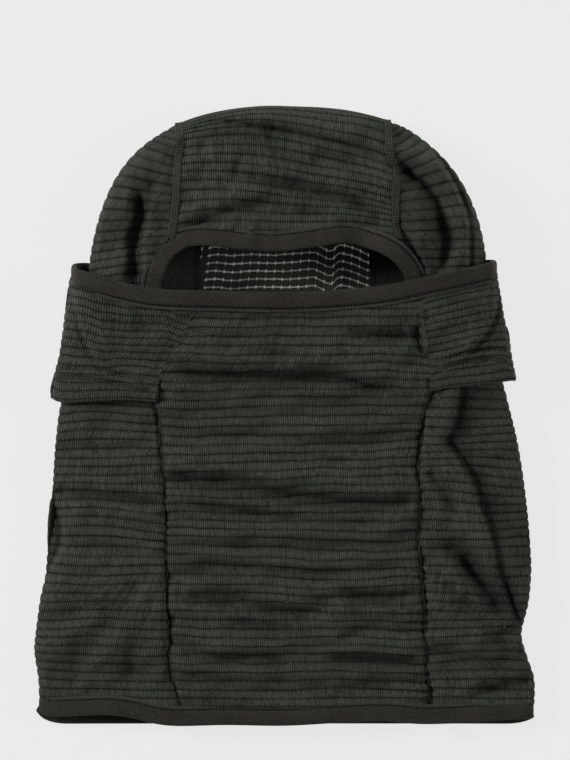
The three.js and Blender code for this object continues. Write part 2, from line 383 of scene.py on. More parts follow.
@dataclass
class Cloth:
    """A grid of cloth: places, fabric coordinates along rows (u) and across them (v), relief, and the painted
    shade of its folds.
    """

    places: Array
    u: Array
    v: Array
    relief: Array
    crease_shade: Array | None = None

    def normals(self) -> Array:
        """Unit normals of the grid, on the side that the rows and columns turn to."""
        along = np.gradient(self.places, axis=1)
        up = np.gradient(self.places, axis=0)
        normal = np.cross(along, up)
        return normal / np.maximum(np.linalg.norm(normal, axis=2, keepdims=True), 1e-9)

    def area(self) -> float:
        """Area of one face of the cloth, mm2."""
        a = self.places[1:, :-1] - self.places[:-1, :-1]
        b = self.places[:-1, 1:] - self.places[:-1, :-1]
        return float(np.linalg.norm(np.cross(a, b), axis=2).sum())

    def solid(
        self, name: str, outer: bpy.types.Material, inner: bpy.types.Material, thickness: float
    ) -> bpy.types.Object:
        """Closed mesh of the cloth with its thickness and both faces' finishes.

        Args:
            name: the piece's name.
            outer: finish of the outer face.
            inner: finish of the inner face.
            thickness: thickness of the cloth, mm.

        Returns:
            The new object, at the origin.
        """
        normal = self.normals()
        rows, columns = self.u.shape
        top = self.places + normal * self.relief[..., None]
        under = self.places - normal * thickness
        under[..., 2] = np.maximum(under[..., 2], 0.05)
        top[..., 2] = np.maximum(top[..., 2], 0.05)
        vertices = np.vstack([top.reshape(-1, 3), under.reshape(-1, 3)]) * MM
        number = np.arange(rows * columns).reshape(rows, columns)
        layer = rows * columns
        a, b, c, d = number[:-1, :-1], number[:-1, 1:], number[1:, 1:], number[1:, :-1]
        front = np.stack([a, b, c, d], axis=-1).reshape(-1, 4)
        ring = np.r_[number[0, :-1], number[:-1, -1], number[-1, :0:-1], number[:0:-1, 0]]
        following = np.roll(ring, -1)
        wall = np.stack([ring, ring + layer, following + layer, following], axis=-1)
        faces = np.vstack([front, front[:, ::-1] + layer, wall])
        slots = np.r_[np.zeros(len(front)), np.ones(len(front)), np.zeros(len(wall))].astype(np.int32)
        uv = np.tile(np.column_stack([self.u.ravel(), self.v.ravel()]), (2, 1))
        piece = mesh_object(name, vertices, faces, uv, (outer, inner), slots)
        # Painted shade of the folds goes on the outer face as a mesh attribute; the inner face gets none.
        dark = np.zeros(2 * layer, np.float32)
        if self.crease_shade is not None:
            dark[:layer] = self.crease_shade.ravel()
        piece.data.attributes.new(CREASE_SHADE, "FLOAT", "POINT").data.foreach_set("value", dark)
        return piece


def mesh_object(
    name: str,
    vertices: Array,
    faces: Array,
    uv: Array,
    materials: Sequence[bpy.types.Material],
    slots: Array | None = None,
) -> bpy.types.Object:
    """Object with one mesh of quads, smooth shaded.

    Args:
        name: the object's name.
        vertices: places in metres.
        faces: four vertex numbers for each face.
        uv: fabric coordinates of each vertex, mm.
        materials: the mesh's material slots.
        slots: material number of each face.

    Returns:
        The new object, linked to the scene.
    """
    mesh = bpy.data.meshes.new(name)
    mesh.vertices.add(len(vertices))
    mesh.vertices.foreach_set("co", np.ascontiguousarray(vertices, np.float32).ravel())
    mesh.loops.add(faces.size)
    mesh.loops.foreach_set("vertex_index", np.ascontiguousarray(faces, np.int32).ravel())
    mesh.polygons.add(len(faces))
    mesh.polygons.foreach_set("loop_start", np.arange(0, faces.size, 4, dtype=np.int32))
    mesh.polygons.foreach_set("use_smooth", np.ones(len(faces), bool))
    if slots is not None:
        mesh.polygons.foreach_set("material_index", slots)
    layer = mesh.uv_layers.new(name=UV_NAME)
    layer.data.foreach_set("uv", np.ascontiguousarray(uv[faces.ravel()], np.float32).ravel())
    for material in materials:
        mesh.materials.append(material)
    mesh.update(calc_edges=True)
    mesh.validate()
    piece = bpy.data.objects.new(name, mesh)
    bpy.context.scene.collection.objects.link(piece)
    return piece


@dataclass(frozen=True)
class Grid:
    """Weave of the grid fleece: furrows across the cloth at an even pitch."""

    pitch: float = 5.3
    depth: float = 0.52
    offsets: tuple[float, ...] = (0.0, 0.07, 0.17, 0.45, 0.74, 0.92)
    depths: tuple[float, ...] = (1.0, 0.5, 0.1, -0.25, -0.2, 0.35)

    def rows(self, low: float, high: float) -> tuple[Array, Array]:
        """Places of the mesh rows between two fabric heights, and how deep each lies.

        Args:
            low: first fabric height, mm.
            high: last fabric height, mm.

        Returns:
            The rows' fabric heights and their relief.
        """
        first, last = math.floor(low / self.pitch), math.ceil(high / self.pitch)
        cells = np.arange(first, last + 1)[:, None]
        places = ((cells + np.array(self.offsets)[None, :]) * self.pitch).ravel()
        relief = -self.depth * np.tile(self.depths, len(cells))
        keep = (places > low + 0.15) & (places < high - 0.15)
        ends = np.interp([low, high], places, relief)
        return np.r_[low, places[keep], high], np.r_[ends[0], relief[keep], ends[1]]


def band(
    name: str,
    path: Array,
    across: Array,
    up: Array,
    width: float,
    swell: float,
    material: bpy.types.Material,
    closed: bool = False,
    sides: int = 20,
) -> bpy.types.Object:
    """A knit binding swept along a path: a flattened tube with rounded edges.

    Args:
        name: the piece's name.
        path: middle line of the band, mm.
        across: unit directions across the band.
        up: unit directions out of its face.
        width: full width, mm.
        swell: half thickness, mm.
        material: its finish.
        closed: whether the path is a ring.
        sides: sides of the section.

    Returns:
        The new object.
    """
    angle = np.linspace(0, FULL_TURN, sides, endpoint=False)
    side = (width / 2 * signed_power(np.cos(angle), 0.55))[None, :, None]
    rise = (swell * signed_power(np.sin(angle), 0.75))[None, :, None]
    middle = path[:, None, :]
    rings = middle + across[:, None, :] * side + up[:, None, :] * rise
    count = len(path)
    if not closed:
        rings = np.concatenate([middle[:1].repeat(sides, 1), rings, middle[-1:].repeat(sides, 1)])
        count += 2
    number = np.arange(count * sides).reshape(count, sides)
    last = count if closed else count - 1
    a = number[:last]
    b = np.roll(number, -1, axis=0)[:last]
    quads = np.stack([a, np.roll(a, -1, 1), np.roll(b, -1, 1), b], axis=-1).reshape(-1, 4)
    along = arc_lengths(rings.mean(axis=1))
    uv = np.column_stack([np.repeat(along, sides), np.tile(side.ravel(), count)])
    return mesh_object(name, rings.reshape(-1, 3) * MM, quads, uv, (material,))


# ---------------------------------------------------------------- shader sockets as expressions


class Value:
    """A shader socket or number that Python's operators add Math nodes to."""

    def __init__(self, shader: "Shader", source: Any) -> None:
        """Keeps the shader that the nodes go into, and the socket or number."""
        self.shader = shader
        self.source = source

    def _with(self, operation: str, *others: Any) -> "Value":
        """Math node of this value and others."""
        return self.shader.maths(operation, self, *others)

    def __add__(self, other: Any) -> "Value":
        """Sum."""
        return self._with("ADD", other)

    __radd__ = __add__

    def __mul__(self, other: Any) -> "Value":
        """Product."""
        return self._with("MULTIPLY", other)

    __rmul__ = __mul__

    def __sub__(self, other: Any) -> "Value":
        """Difference."""
        return self._with("SUBTRACT", other)

    def __rsub__(self, other: Any) -> "Value":
        """Difference, the other way round."""
        return self.shader.maths("SUBTRACT", other, self)

    def __truediv__(self, other: Any) -> "Value":
        """Quotient."""
        return self._with("DIVIDE", other)

    def __gt__(self, other: Any) -> "Value":
        """1 where this is greater."""
        return self._with("GREATER_THAN", other)

    def fract(self) -> "Value":
        """Part after the decimal point."""
        return self._with("FRACT")

    def floor(self) -> "Value":
        """Whole number under this value."""
        return self._with("FLOOR")

    def absolute(self) -> "Value":
        """Size without sign."""
        return self._with("ABSOLUTE")

    def sine(self) -> "Value":
        """Sine."""
        return self._with("SINE")

    def near_whole(self, width: Any) -> "Value":
        """1 on whole numbers, falling to 0 at a width either side."""
        distance = ((self + 0.5).fract() - 0.5).absolute()
        return self.shader.maths("MAXIMUM", 1.0 - distance / width, 0.0)


class Tree:
    """A node tree whose nodes are added with their settings and inputs."""

    def __init__(self, tree: bpy.types.NodeTree) -> None:
        """Keeps the tree's nodes and links."""
        self.nodes = tree.nodes
        self.links = tree.links

    def node(
        self, kind: str, settings: dict[str, Any] | None = None, inputs: dict[Any, Any] | None = None
    ) -> bpy.types.Node:
        """Adds a node.

        Args:
            kind: type of the node.
            settings: attributes, set first.
            inputs: values or links of its sockets, by name or number.

        Returns:
            The node.
        """
        made = self.nodes.new(kind)
        for key, value in (settings or {}).items():
            setattr(made, key, value)
        for key, value in (inputs or {}).items():
            self.plug(made.inputs[key], value)
        return made

    def plug(self, socket: bpy.types.NodeSocket, value: Any) -> None:
        """Links or sets one socket."""
        source = value.source if isinstance(value, Value) else value
        if isinstance(source, bpy.types.NodeSocket):
            self.links.new(source, socket)
        else:
            socket.default_value = source


class Shader(Tree):
    """A material whose nodes are written as expressions."""

    def __init__(self, name: str) -> None:
        """Makes an empty node material with a Principled shader."""
        self.material = bpy.data.materials.new(name)
        self.material.use_nodes = True
        super().__init__(self.material.node_tree)
        self.nodes.clear()
        self.principled = self.node("ShaderNodeBsdfPrincipled")
        self.node("ShaderNodeOutputMaterial", None, {0: self.principled.outputs[0]})

    def maths(self, operation: str, *terms: Any) -> Value:
        """Math node of up to three terms."""
        made = self.node("ShaderNodeMath", {"operation": operation}, dict(enumerate(terms)))
        return Value(self, made.outputs[0])

    def fabric(self) -> tuple[Value, Value]:
        """Fabric coordinates along the rows and across them, mm."""
        made = self.node("ShaderNodeUVMap", {"uv_map": UV_NAME})
        split = self.node("ShaderNodeSeparateXYZ", None, {0: made.outputs[0]})
        return Value(self, split.outputs[0]), Value(self, split.outputs[1])

    def vector(self, x: Any, y: Any) -> Value:
        """Vector of two values."""
        return Value(self, self.node("ShaderNodeCombineXYZ", None, {0: x, 1: y}).outputs[0])

    def wave(self, where: Value, length: float) -> Value:
        """Sine wave from 0 to 1 with a wave length in mm."""
        return (where * (FULL_TURN / length)).sine() * 0.5 + 0.5

    def noise(self, where: Value | None, scale: float, detail: float = 2.0) -> Value:
        """Noise from 0 to 1 at a place, or in the object's own space in metres."""
        place = where or Value(self, self.node("ShaderNodeTexCoord").outputs["Object"])
        made = self.node("ShaderNodeTexNoise", None, {"Vector": place, "Scale": scale, "Detail": detail})
        return Value(self, made.outputs[0])

    def cell(self, where: Value) -> Value:
        """Random number of a whole-numbered place."""
        made = self.node("ShaderNodeTexWhiteNoise", {"noise_dimensions": "2D"}, {"Vector": where})
        return Value(self, made.outputs[0])

    def mix(self, factor: Any, low: Any, high: Any) -> Value:
        """Colour between two colours."""
        made = self.node("ShaderNodeMix", {"data_type": "RGBA"}, {0: factor, 6: low, 7: high})
        return Value(self, made.outputs[2])

    def finish(
        self,
        colour: Any,
        roughness: Any = 0.9,
        height: Value | None = None,
        distance: float = 0.0003,
        strength: float = 1.0,
        sheen: float = 0.0,
        sheen_tint: tuple[float, float, float] = (0.5, 0.55, 0.5),
        specular: float = 0.25,
    ) -> bpy.types.Material:
        """Sets the Principled shader and returns the material.

        Args:
            colour: base colour or a link to one.
            roughness: roughness or a link to one.
            height: relief for the normal, 0 to 1.
            distance: depth of that relief, m.
            strength: strength of the relief.
            sheen: weight of the fuzz sheen.
            sheen_tint: colour of the sheen.
            specular: level of the specular reflection.

        Returns:
            The finished material.
        """
        self.plug(self.principled.inputs["Base Color"], colour)
        self.plug(self.principled.inputs["Roughness"], roughness)
        self.principled.inputs["Specular IOR Level"].default_value = specular
        self.principled.inputs["Sheen Weight"].default_value = sheen
        self.principled.inputs["Sheen Roughness"].default_value = 0.45
        self.principled.inputs["Sheen Tint"].default_value = (*sheen_tint, 1.0)
        if height is not None:
            relief = {"Height": height, "Distance": distance, "Strength": strength}
            bump = self.node("ShaderNodeBump", None, relief)
            self.plug(self.principled.inputs["Normal"], bump.outputs[0])
        return self.material


# ---------------------------------------------------------------- finishes


@dataclass(frozen=True)
class GridFleece:
    """Grid-back fleece: furrows across, fine knit ribs along, a little fuzz and a few pale pinholes, with
    painted shade beside the furrows and in the folds.
    """

    name: str = "grid_fleece"
    thread: Colour = (0.103, 0.112, 0.0875, 1)
    shade: Colour = (0.016, 0.018, 0.0135, 1)
    pinhole: Colour = (0.13, 0.135, 0.12, 1)
    groove: Colour = (0.0045, 0.005, 0.004, 1)
    # Colour of the painted shade in the folds.
    crease_shade: Colour = (0.0035, 0.004, 0.003, 1)
    pitch: float = 5.3
    cell: float = 5.2
    rib: float = 1.3
    solid_share: float = 0.988

    def build(self) -> bpy.types.Material:
        """Makes the material."""
        s = Shader(self.name)
        u, v = s.fabric()
        row = (v / self.pitch + 0.5).floor()
        jitter = (s.noise(s.vector(u * 0.35, v * 0.35), 1.0) - 0.5) * 0.12
        furrow = (v / self.pitch + jitter).near_whole(0.15)
        wander = s.noise(s.vector(u * 0.05, v * 0.09), 1.0) * 1.4
        ribs = s.wave(u + wander, self.rib)
        hatch = s.noise(s.vector(u * 0.75, row * 3.7 + v * 0.07), 1.0, 2.0)
        fuzz = s.noise(s.vector(u * 1.5, v * 1.0), 1.0, 3.0)
        broad = s.noise(s.vector(u * 0.02, v * 0.03), 1.0, 1.0)
        patch = s.noise(s.vector(u * 0.03, row * 0.6), 1.0, 2.0)
        tone = ribs * 0.6 + hatch * 1.5 + fuzz * 1.1 + broad * 0.4 - 1.30
        colour = s.mix(tone, self.shade, self.thread)
        # Painted shade: a soft darkening either side of each furrow, where shade falls; the next lines darken
        # the furrow line itself further.
        colour = s.mix((v / self.pitch + jitter).near_whole(0.36) * 0.42, colour, self.shade)
        depth = s.maths("MINIMUM", furrow * (patch * 1.9 - 0.35), 0.8)
        colour = s.mix(depth, colour, self.groove)
        chosen = s.cell(s.vector((u / self.cell + 0.5).floor(), row)) > self.solid_share
        spot = (u / self.cell).near_whole(0.09) * (v / self.pitch).near_whole(0.09)
        colour = s.mix(chosen * (spot > 0.15), colour, self.pinhole)
        # Painted shade of the folds, read from the mesh attribute.
        crease_shade = Value(s, s.node("ShaderNodeAttribute", {"attribute_name": CREASE_SHADE}).outputs["Fac"])
        colour = s.mix(s.maths("MINIMUM", crease_shade, 0.9), colour, self.crease_shade)
        height = ribs * 0.7 + hatch * 1.0 + fuzz * 0.6 - furrow * 0.5
        return s.finish(colour, 0.92, height, 0.0006, 0.9, 0.12, (0.45, 0.52, 0.44), 0.18)


@dataclass(frozen=True)
class FleeceInside:
    """Inner face of the fleece: pale lines where the grid is knitted thin, with a painted glow as if light
    shows through them.
    """

    name: str
    base: Colour = (0.075, 0.080, 0.060, 1)
    shade: Colour = (0.012, 0.0125, 0.010, 1)
    unlit: Colour = (0.010, 0.0105, 0.0085, 1)
    pale: Colour = (0.62, 0.63, 0.58, 1)
    rib: float = 1.12
    pitch: float = 4.9
    cell: float = 6.0
    first: float = 3.9
    lean: float = 0.12
    level: float = 160.0
    lines: float = 1.0
    glow: float = 0.22

    def build(self) -> bpy.types.Material:
        """Makes the material."""
        s = Shader(self.name)
        u, v = s.fabric()
        bend = (s.noise(s.vector(u * 0.06, v * 0.03), 1.0) - 0.5) * 0.5
        leaned = u + (v - self.level) * self.lean
        column = ((leaned - self.first) / self.cell).near_whole(0.11)
        across = v / self.pitch + bend
        line = across.near_whole(0.13)
        post = column * 0.02
        knot = across.near_whole(0.26) * column
        ribs = s.wave(u, self.rib)
        fuzz = s.noise(s.vector(u * 0.9, v * 0.5), 1.0, 3.0)
        uneven = s.noise(s.vector(u * 0.05, v * 0.10), 1.0, 2.0)
        body = s.mix(ribs * 0.4 + fuzz * 0.9 - 0.3, self.shade, self.base)
        thin = line * (leaned > self.first + 0.75 * self.cell) * 0.62 * (fuzz * 1.4 + 0.1)
        glow = s.maths("MAXIMUM", thin, s.maths("MAXIMUM", post, knot * 1.5))
        factor = s.maths("MINIMUM", glow * self.lines * (uneven * 2.2 - 0.2), 1.0)
        colour = s.mix(factor, body, self.pale)
        # Painted light: the pale lines glow a little, as if lit through from behind; the rest glows faintly
        # in the unlit colour.
        s.plug(s.principled.inputs["Emission Color"], s.mix(factor, self.unlit, self.pale))
        s.principled.inputs["Emission Strength"].default_value = self.glow
        return s.finish(colour, 0.9, ribs * 0.5 + line * 0.5, 0.0003, 0.6, 0.0, specular=0.15)


@dataclass(frozen=True)
class BindingKnit:
    """Smooth stretch binding: fine ribs across the band, slightly warmer than the fleece."""

    name: str = "binding_knit"
    light: Colour = (0.066, 0.063, 0.0515, 1)
    dark: Colour = (0.012, 0.0115, 0.0092, 1)
    rib: float = 1.25
    slant: float = 0.45
    purl: float = 0.9

    def build(self) -> bpy.types.Material:
        """Makes the material."""
        s = Shader(self.name)
        u, v = s.fabric()
        ribs = s.wave(u + v * self.slant, self.rib)
        purl = s.wave(v, self.purl)
        fuzz = s.noise(s.vector(u * 1.1, v * 0.8), 1.0, 3.0)
        broad = s.noise(s.vector(u * 0.04, v * 0.10), 1.0, 2.0)
        tone = ribs * 0.7 + purl * 0.12 + fuzz * 1.4 + broad * 0.6 - 0.98
        colour = s.mix(tone, self.dark, self.light)
        return s.finish(colour, 0.88, ribs * 0.7 + fuzz * 0.9, 0.0004, 0.85, 0.10, (0.5, 0.48, 0.42), 0.2)


@dataclass(frozen=True)
class SewingThread:
    """Polyester thread, pale or dark."""

    name: str
    colour: Colour

    def build(self) -> bpy.types.Material:
        """Makes the material."""
        s = Shader(self.name)
        twist = s.noise(None, 900.0, 2.0)
        dim = tuple(0.55 * c for c in self.colour[:3])
        colour = s.mix(twist, (*dim, 1), self.colour)
        return s.finish(colour, 0.6, twist, 0.0001, 0.5, 0.05, specular=0.4)


@dataclass(frozen=True)
class PlainFinish:
    """A finish with a fine grain, for the pieces inside."""

    name: str
    grain: float
    dark: Colour
    light: Colour
    roughness: float = 0.6
    specular: float = 0.25

    def build(self) -> bpy.types.Material:
        """Makes the material."""
        s = Shader(self.name)
        grain = s.noise(None, self.grain)
        colour = s.mix(grain, self.dark, self.light)
        return s.finish(colour, self.roughness, grain, 0.0001, specular=self.specular)


class Finishes:
    """Every material of the garment, made once."""

    def __init__(self) -> None:
        """Makes the materials."""
        self.fleece = GridFleece().build()
        self.inside = FleeceInside("fleece_inside_mesh").build()
        plain = FleeceInside("fleece_inside_plain", (0.105, 0.110, 0.086, 1), lines=0.05, glow=0.0)
        self.inside_side = plain.build()
        self.binding = BindingKnit().build()
        # Painted light: the lip's knit is the binding knit made lighter, for the light its edge catches.
        self.lip = BindingKnit("lip_knit_painted_light", (0.092, 0.088, 0.073, 1), (0.024, 0.023, 0.019, 1)).build()
        self.thread = SewingThread("seam_thread", (0.085, 0.088, 0.070, 1)).build()
        # The crown seam band's knit is darker than the binding: painted shade in the gaps between the
        # stitches on it.
        seam = BindingKnit("seam_knit", (0.060, 0.065, 0.050, 1), (0.006, 0.0065, 0.005, 1), 1.7, 0.9)
        self.seam = seam.build()
        self.dark_thread = SewingThread("dark_thread", (0.007, 0.0075, 0.006, 1)).build()
        elastic = PlainFinish("clear_elastic", 300.0, (0.35, 0.36, 0.33, 1), (0.5, 0.51, 0.48, 1), 0.35, 0.5)
        self.elastic = elastic.build()
        self.label = PlainFinish("label_cloth", 700.0, (0.2, 0.21, 0.19, 1), (0.3, 0.31, 0.28, 1)).build()


# ---------------------------------------------------------------- stitches


class StitchKind(Enum):
    """Ways that a seam's stitches lie, each with its turn from the path in radians."""

    ALONG = 0.0
    SLANTED = math.radians(58)


@dataclass(frozen=True)
class StitchRow:
    """Thread stitches repeated along a path by a node tree."""

    spacing: float = 2.4
    length: float = 1.7
    radius: float = 0.28
    kind: StitchKind = StitchKind.ALONG
    shortest: float = 0.8
    longest: float = 1.15

    def tree(self, thread: bpy.types.Material) -> bpy.types.NodeTree:
        """Node tree that turns a path into stitches."""
        group = bpy.data.node_groups.new("stitches_along_path", "GeometryNodeTree")
        face = group.interface
        face.new_socket("Geometry", in_out="INPUT", socket_type="NodeSocketGeometry")
        for label in ("Spacing", "Length", "Radius", "Turn"):
            face.new_socket(label, in_out="INPUT", socket_type="NodeSocketFloat")
        face.new_socket("Seed", in_out="INPUT", socket_type="NodeSocketInt")
        face.new_socket("Geometry", in_out="OUTPUT", socket_type="NodeSocketGeometry")
        tree = Tree(group)
        given = tree.node("NodeGroupInput").outputs
        curve = tree.node("GeometryNodeMeshToCurve", None, {"Mesh": given["Geometry"]})
        spaced = {"Curve": curve.outputs[0], "Length": given["Spacing"]}
        sample = tree.node("GeometryNodeResampleCurve", {"mode": "LENGTH"}, spaced)
        kept = tree.node("GeometryNodeCaptureAttribute")
        kept.capture_items.new("VECTOR", "tangent")
        tree.plug(kept.inputs["Geometry"], sample.outputs[0])
        tree.plug(kept.inputs[1], tree.node("GeometryNodeInputTangent").outputs[0])
        line = {"Curve": kept.outputs["Geometry"]}
        points = tree.node("GeometryNodeCurveToPoints", {"mode": "EVALUATED"}, line)
        normal = tree.node("GeometryNodeInputNamedAttribute", {"data_type": "FLOAT_VECTOR"}, {"Name": "up"})
        turns = {"Primary Axis": kept.outputs[1], "Secondary Axis": normal.outputs[0]}
        aligned = tree.node("FunctionNodeAxesToRotation", {"primary_axis": "X", "secondary_axis": "Z"}, turns)
        half = tree.node("ShaderNodeMath", {"operation": "MULTIPLY"}, {0: given["Length"], 1: 0.5})
        bounds = {2: self.shortest, 3: self.longest, "Seed": given["Seed"]}
        vary = tree.node("FunctionNodeRandomValue", None, bounds)
        factors = {0: half.outputs[0], 1: vary.outputs[1]}
        scaled = tree.node("ShaderNodeMath", {"operation": "MULTIPLY"}, factors)
        sizes = {0: scaled.outputs[0], 1: given["Radius"], 2: given["Radius"]}
        size = tree.node("ShaderNodeCombineXYZ", None, sizes)
        ball = tree.node("GeometryNodeMeshIcoSphere", None, {"Subdivisions": 1, "Radius": 1.0})
        placing = {
            "Points": points.outputs["Points"],
            "Instance": ball.outputs[0],
            "Rotation": aligned.outputs[0],
            "Scale": size.outputs[0],
        }
        place = tree.node("GeometryNodeInstanceOnPoints", None, placing)
        spin = tree.node("ShaderNodeCombineXYZ", None, {2: given["Turn"]})
        turning = {"Instances": place.outputs[0], "Rotation": spin.outputs[0]}
        turned = tree.node("GeometryNodeRotateInstances", None, turning)
        real = tree.node("GeometryNodeRealizeInstances", None, {0: turned.outputs[0]})
        rounded = tree.node("GeometryNodeSetShadeSmooth", None, {0: real.outputs[0]})
        finished = {"Geometry": rounded.outputs[0], "Material": thread}
        finish = tree.node("GeometryNodeSetMaterial", None, finished)
        tree.node("NodeGroupOutput", None, {0: finish.outputs[0]})
        return group

    def lay(self, name: str, path: Array, up: Array, thread: bpy.types.Material) -> bpy.types.Object:
        """Lays the stitches along a path.

        Args:
            name: the piece's name.
            path: middle line, mm.
            up: directions out of the cloth along it.
            thread: the thread's finish.

        Returns:
            The stitches as one plain mesh.
        """
        guide = bpy.data.meshes.new(name + "_path")
        edges = [(i, i + 1) for i in range(len(path) - 1)]
        guide.from_pydata((path * MM).tolist(), edges, [])
        outward = guide.attributes.new("up", "FLOAT_VECTOR", "POINT")
        outward.data.foreach_set("vector", up.astype(np.float32).ravel())
        piece = bpy.data.objects.new(name, guide)
        bpy.context.scene.collection.objects.link(piece)
        tree = self.tree(thread)
        modifier = piece.modifiers.new("stitches", "NODES")
        modifier.node_group = tree
        values = {
            "Spacing": self.spacing * MM,
            "Length": self.length * MM,
            "Radius": self.radius * MM,
            "Turn": self.kind.value,
            "Seed": STITCH_SEED,
        }
        for item in tree.interface.items_tree:
            if item.in_out == "INPUT" and item.name in values:
                modifier[item.identifier] = values[item.name]
        piece.update_tag()
        bpy.context.view_layer.update()
        made = bpy.data.meshes.new_from_object(piece.evaluated_get(bpy.context.evaluated_depsgraph_get()))
        piece.modifiers.clear()
        piece.data = made
        made.name = name
        return piece


# ---------------------------------------------------------------- shared by the sub-assemblies


@dataclass
class Workshop:
    """What every sub-assembly needs: the laid bag, the finishes and the weave."""

    bag: LaidBag
    finish: Finishes
    grid: Grid = Grid()
    thickness: float = 1.5
    column: float = 1.25

    def line(self, path: Points, height: Callable[[Array, Array], Array], count: int = 120) -> Array:
        """Curve of places on a surface over a plan path, mm."""
        plan = spline(path, count)
        return np.column_stack([plan, height(plan[:, 0], plan[:, 1])])

    @staticmethod
    def frame_of(path: Array, height: Callable[[Array, Array], Array]) -> tuple[Array, Array]:
        """Directions across and out of a surface along a path."""
        tangent = unit(np.gradient(path, axis=0))
        x, y, small = path[:, 0], path[:, 1], 0.8
        slope_x = (height(x + small, y) - height(x - small, y)) / (2 * small)
        slope_y = (height(x, y + small) - height(x, y - small)) / (2 * small)
        up = unit(np.column_stack([-slope_x, -slope_y, np.ones(len(path))]))
        across = unit(np.cross(up, tangent))
        return across, np.cross(tangent, across)

    def dress(self, piece: bpy.types.Object, body: str, slot: str, *nodes: str) -> None:
        """Puts a piece on a body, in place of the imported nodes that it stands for."""
        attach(piece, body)
        if nodes:
            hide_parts(*nodes)
        log.info("%s: %d faces", piece.name, len(piece.data.polygons))

    def sheet(
        self, cloth: Cloth, name: str, node: str, inside: bpy.types.Material, flat: tuple[float, float]
    ) -> None:
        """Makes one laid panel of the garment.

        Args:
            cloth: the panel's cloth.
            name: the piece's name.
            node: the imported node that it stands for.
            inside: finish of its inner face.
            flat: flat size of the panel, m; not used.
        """
        piece = cloth.solid(name, self.finish.fleece, inside, self.thickness)
        cloth.area() * MM * MM
        self.dress(piece, GARMENT, "grid_fleece", node)


def resampled(section: Array, count: int) -> tuple[Array, Array]:
    """Evenly spaced places along each row of sections.

    Args:
        section: rows of places, shape (rows, points, 3).
        count: places wanted in each row.

    Returns:
        The places and each one's arc length.
    """
    steps = np.linalg.norm(np.diff(section, axis=1), axis=2)
    length = np.concatenate([np.zeros((len(section), 1)), np.cumsum(steps, axis=1)], axis=1)
    share = np.linspace(0, 1, count)
    places = np.empty((len(section), count, 3))
    arcs = share[None, :] * length[:, -1:]
    for i in range(len(section)):
        for k in range(3):
            places[i, :, k] = np.interp(arcs[i], length[i], section[i, :, k])
    return places, arcs


def even(path: Array, count: int) -> Array:
    """Evenly spaced places along a line of places."""
    return resampled(path[None], count)[0][0]


def frame_along(path: Array, reference: Sequence[float], closed: bool = False) -> tuple[Array, Array]:
    """Directions across and out of a band that stays turned towards a reference direction."""
    ahead = np.gradient(path, axis=0)
    if closed:
        ahead = np.roll(path, -1, axis=0) - np.roll(path, 1, axis=0)
    ahead = unit(ahead)
    across = unit(np.array(reference) - (ahead @ np.array(reference))[:, None] * ahead)
    return across, np.cross(ahead, across)


@dataclass(frozen=True)
class Ruche:
    """How cloth dips and puckers beside a gathered seam."""

    seed: int = 1
    period: float = 6.4
    height: float = 0.85
    reach: float = 8.0
    dip: float = 2.6
    dip_width: float = 2.3

    def lift(self, distance: Array, y: Array) -> Array:
        """Height added at a distance from the seam, mm."""
        uneven = Waves(self.seed, 900, 26).at(0 * y, y)
        strength = 0.6 + 0.5 * Waves(self.seed + 9, 900, 40).at(0 * y, y)
        swing = np.sin(y * 2 * math.pi / self.period + 2 * uneven)
        pucker = self.height * strength * np.exp(-distance / self.reach) * swing
        return pucker - self.dip * np.exp(-((distance / self.dip_width) ** 2))


@dataclass(frozen=True)
class BoundEdge:
    """A knit binding with a thin lip beside it and coverstitches in the groove between them."""

    width: float = 11.6
    lip: float = 2.4
    swell: float = 1.6
    lip_side: int = -1
    stitch: StitchRow = StitchRow(1.9, 1.25, 0.5)

    def build(
        self,
        name: str,
        path: Array,
        across: Array,
        up: Array,
        finish: Finishes,
        closed: bool = False,
    ) -> tuple[bpy.types.Object, bpy.types.Object, bpy.types.Object]:
        """Makes the band, its lip and its stitches.

        Args:
            name: start of the pieces' names.
            path: middle line of the whole edge, mm.
            across: directions across it.
            up: directions out of its face.
            finish: the garment's materials.
            closed: whether the path is a ring.

        Returns:
            The band, the lip and the stitches.
        """
        main = self.width - self.lip
        centre = path - self.lip_side * across * self.lip / 2
        body = band(name, centre, across, up, main, self.swell, finish.binding, closed)
        edge = path + self.lip_side * across * (self.width - self.lip + 0.9) / 2 - up * self.swell * 0.35
        lip = band(name + "_lip", edge, across, up, self.lip + 0.3, 1.0, finish.lip, closed, 12)
        between = self.width / 2 - self.lip + 0.25
        groove = path + self.lip_side * across * between + up * self.swell * 0.42
        if closed:
            groove, up = np.vstack([groove, groove[:1]]), np.vstack([up, up[:1]])
        return body, lip, self.stitch.lay(name + "_stitches", groove, up, finish.dark_thread)


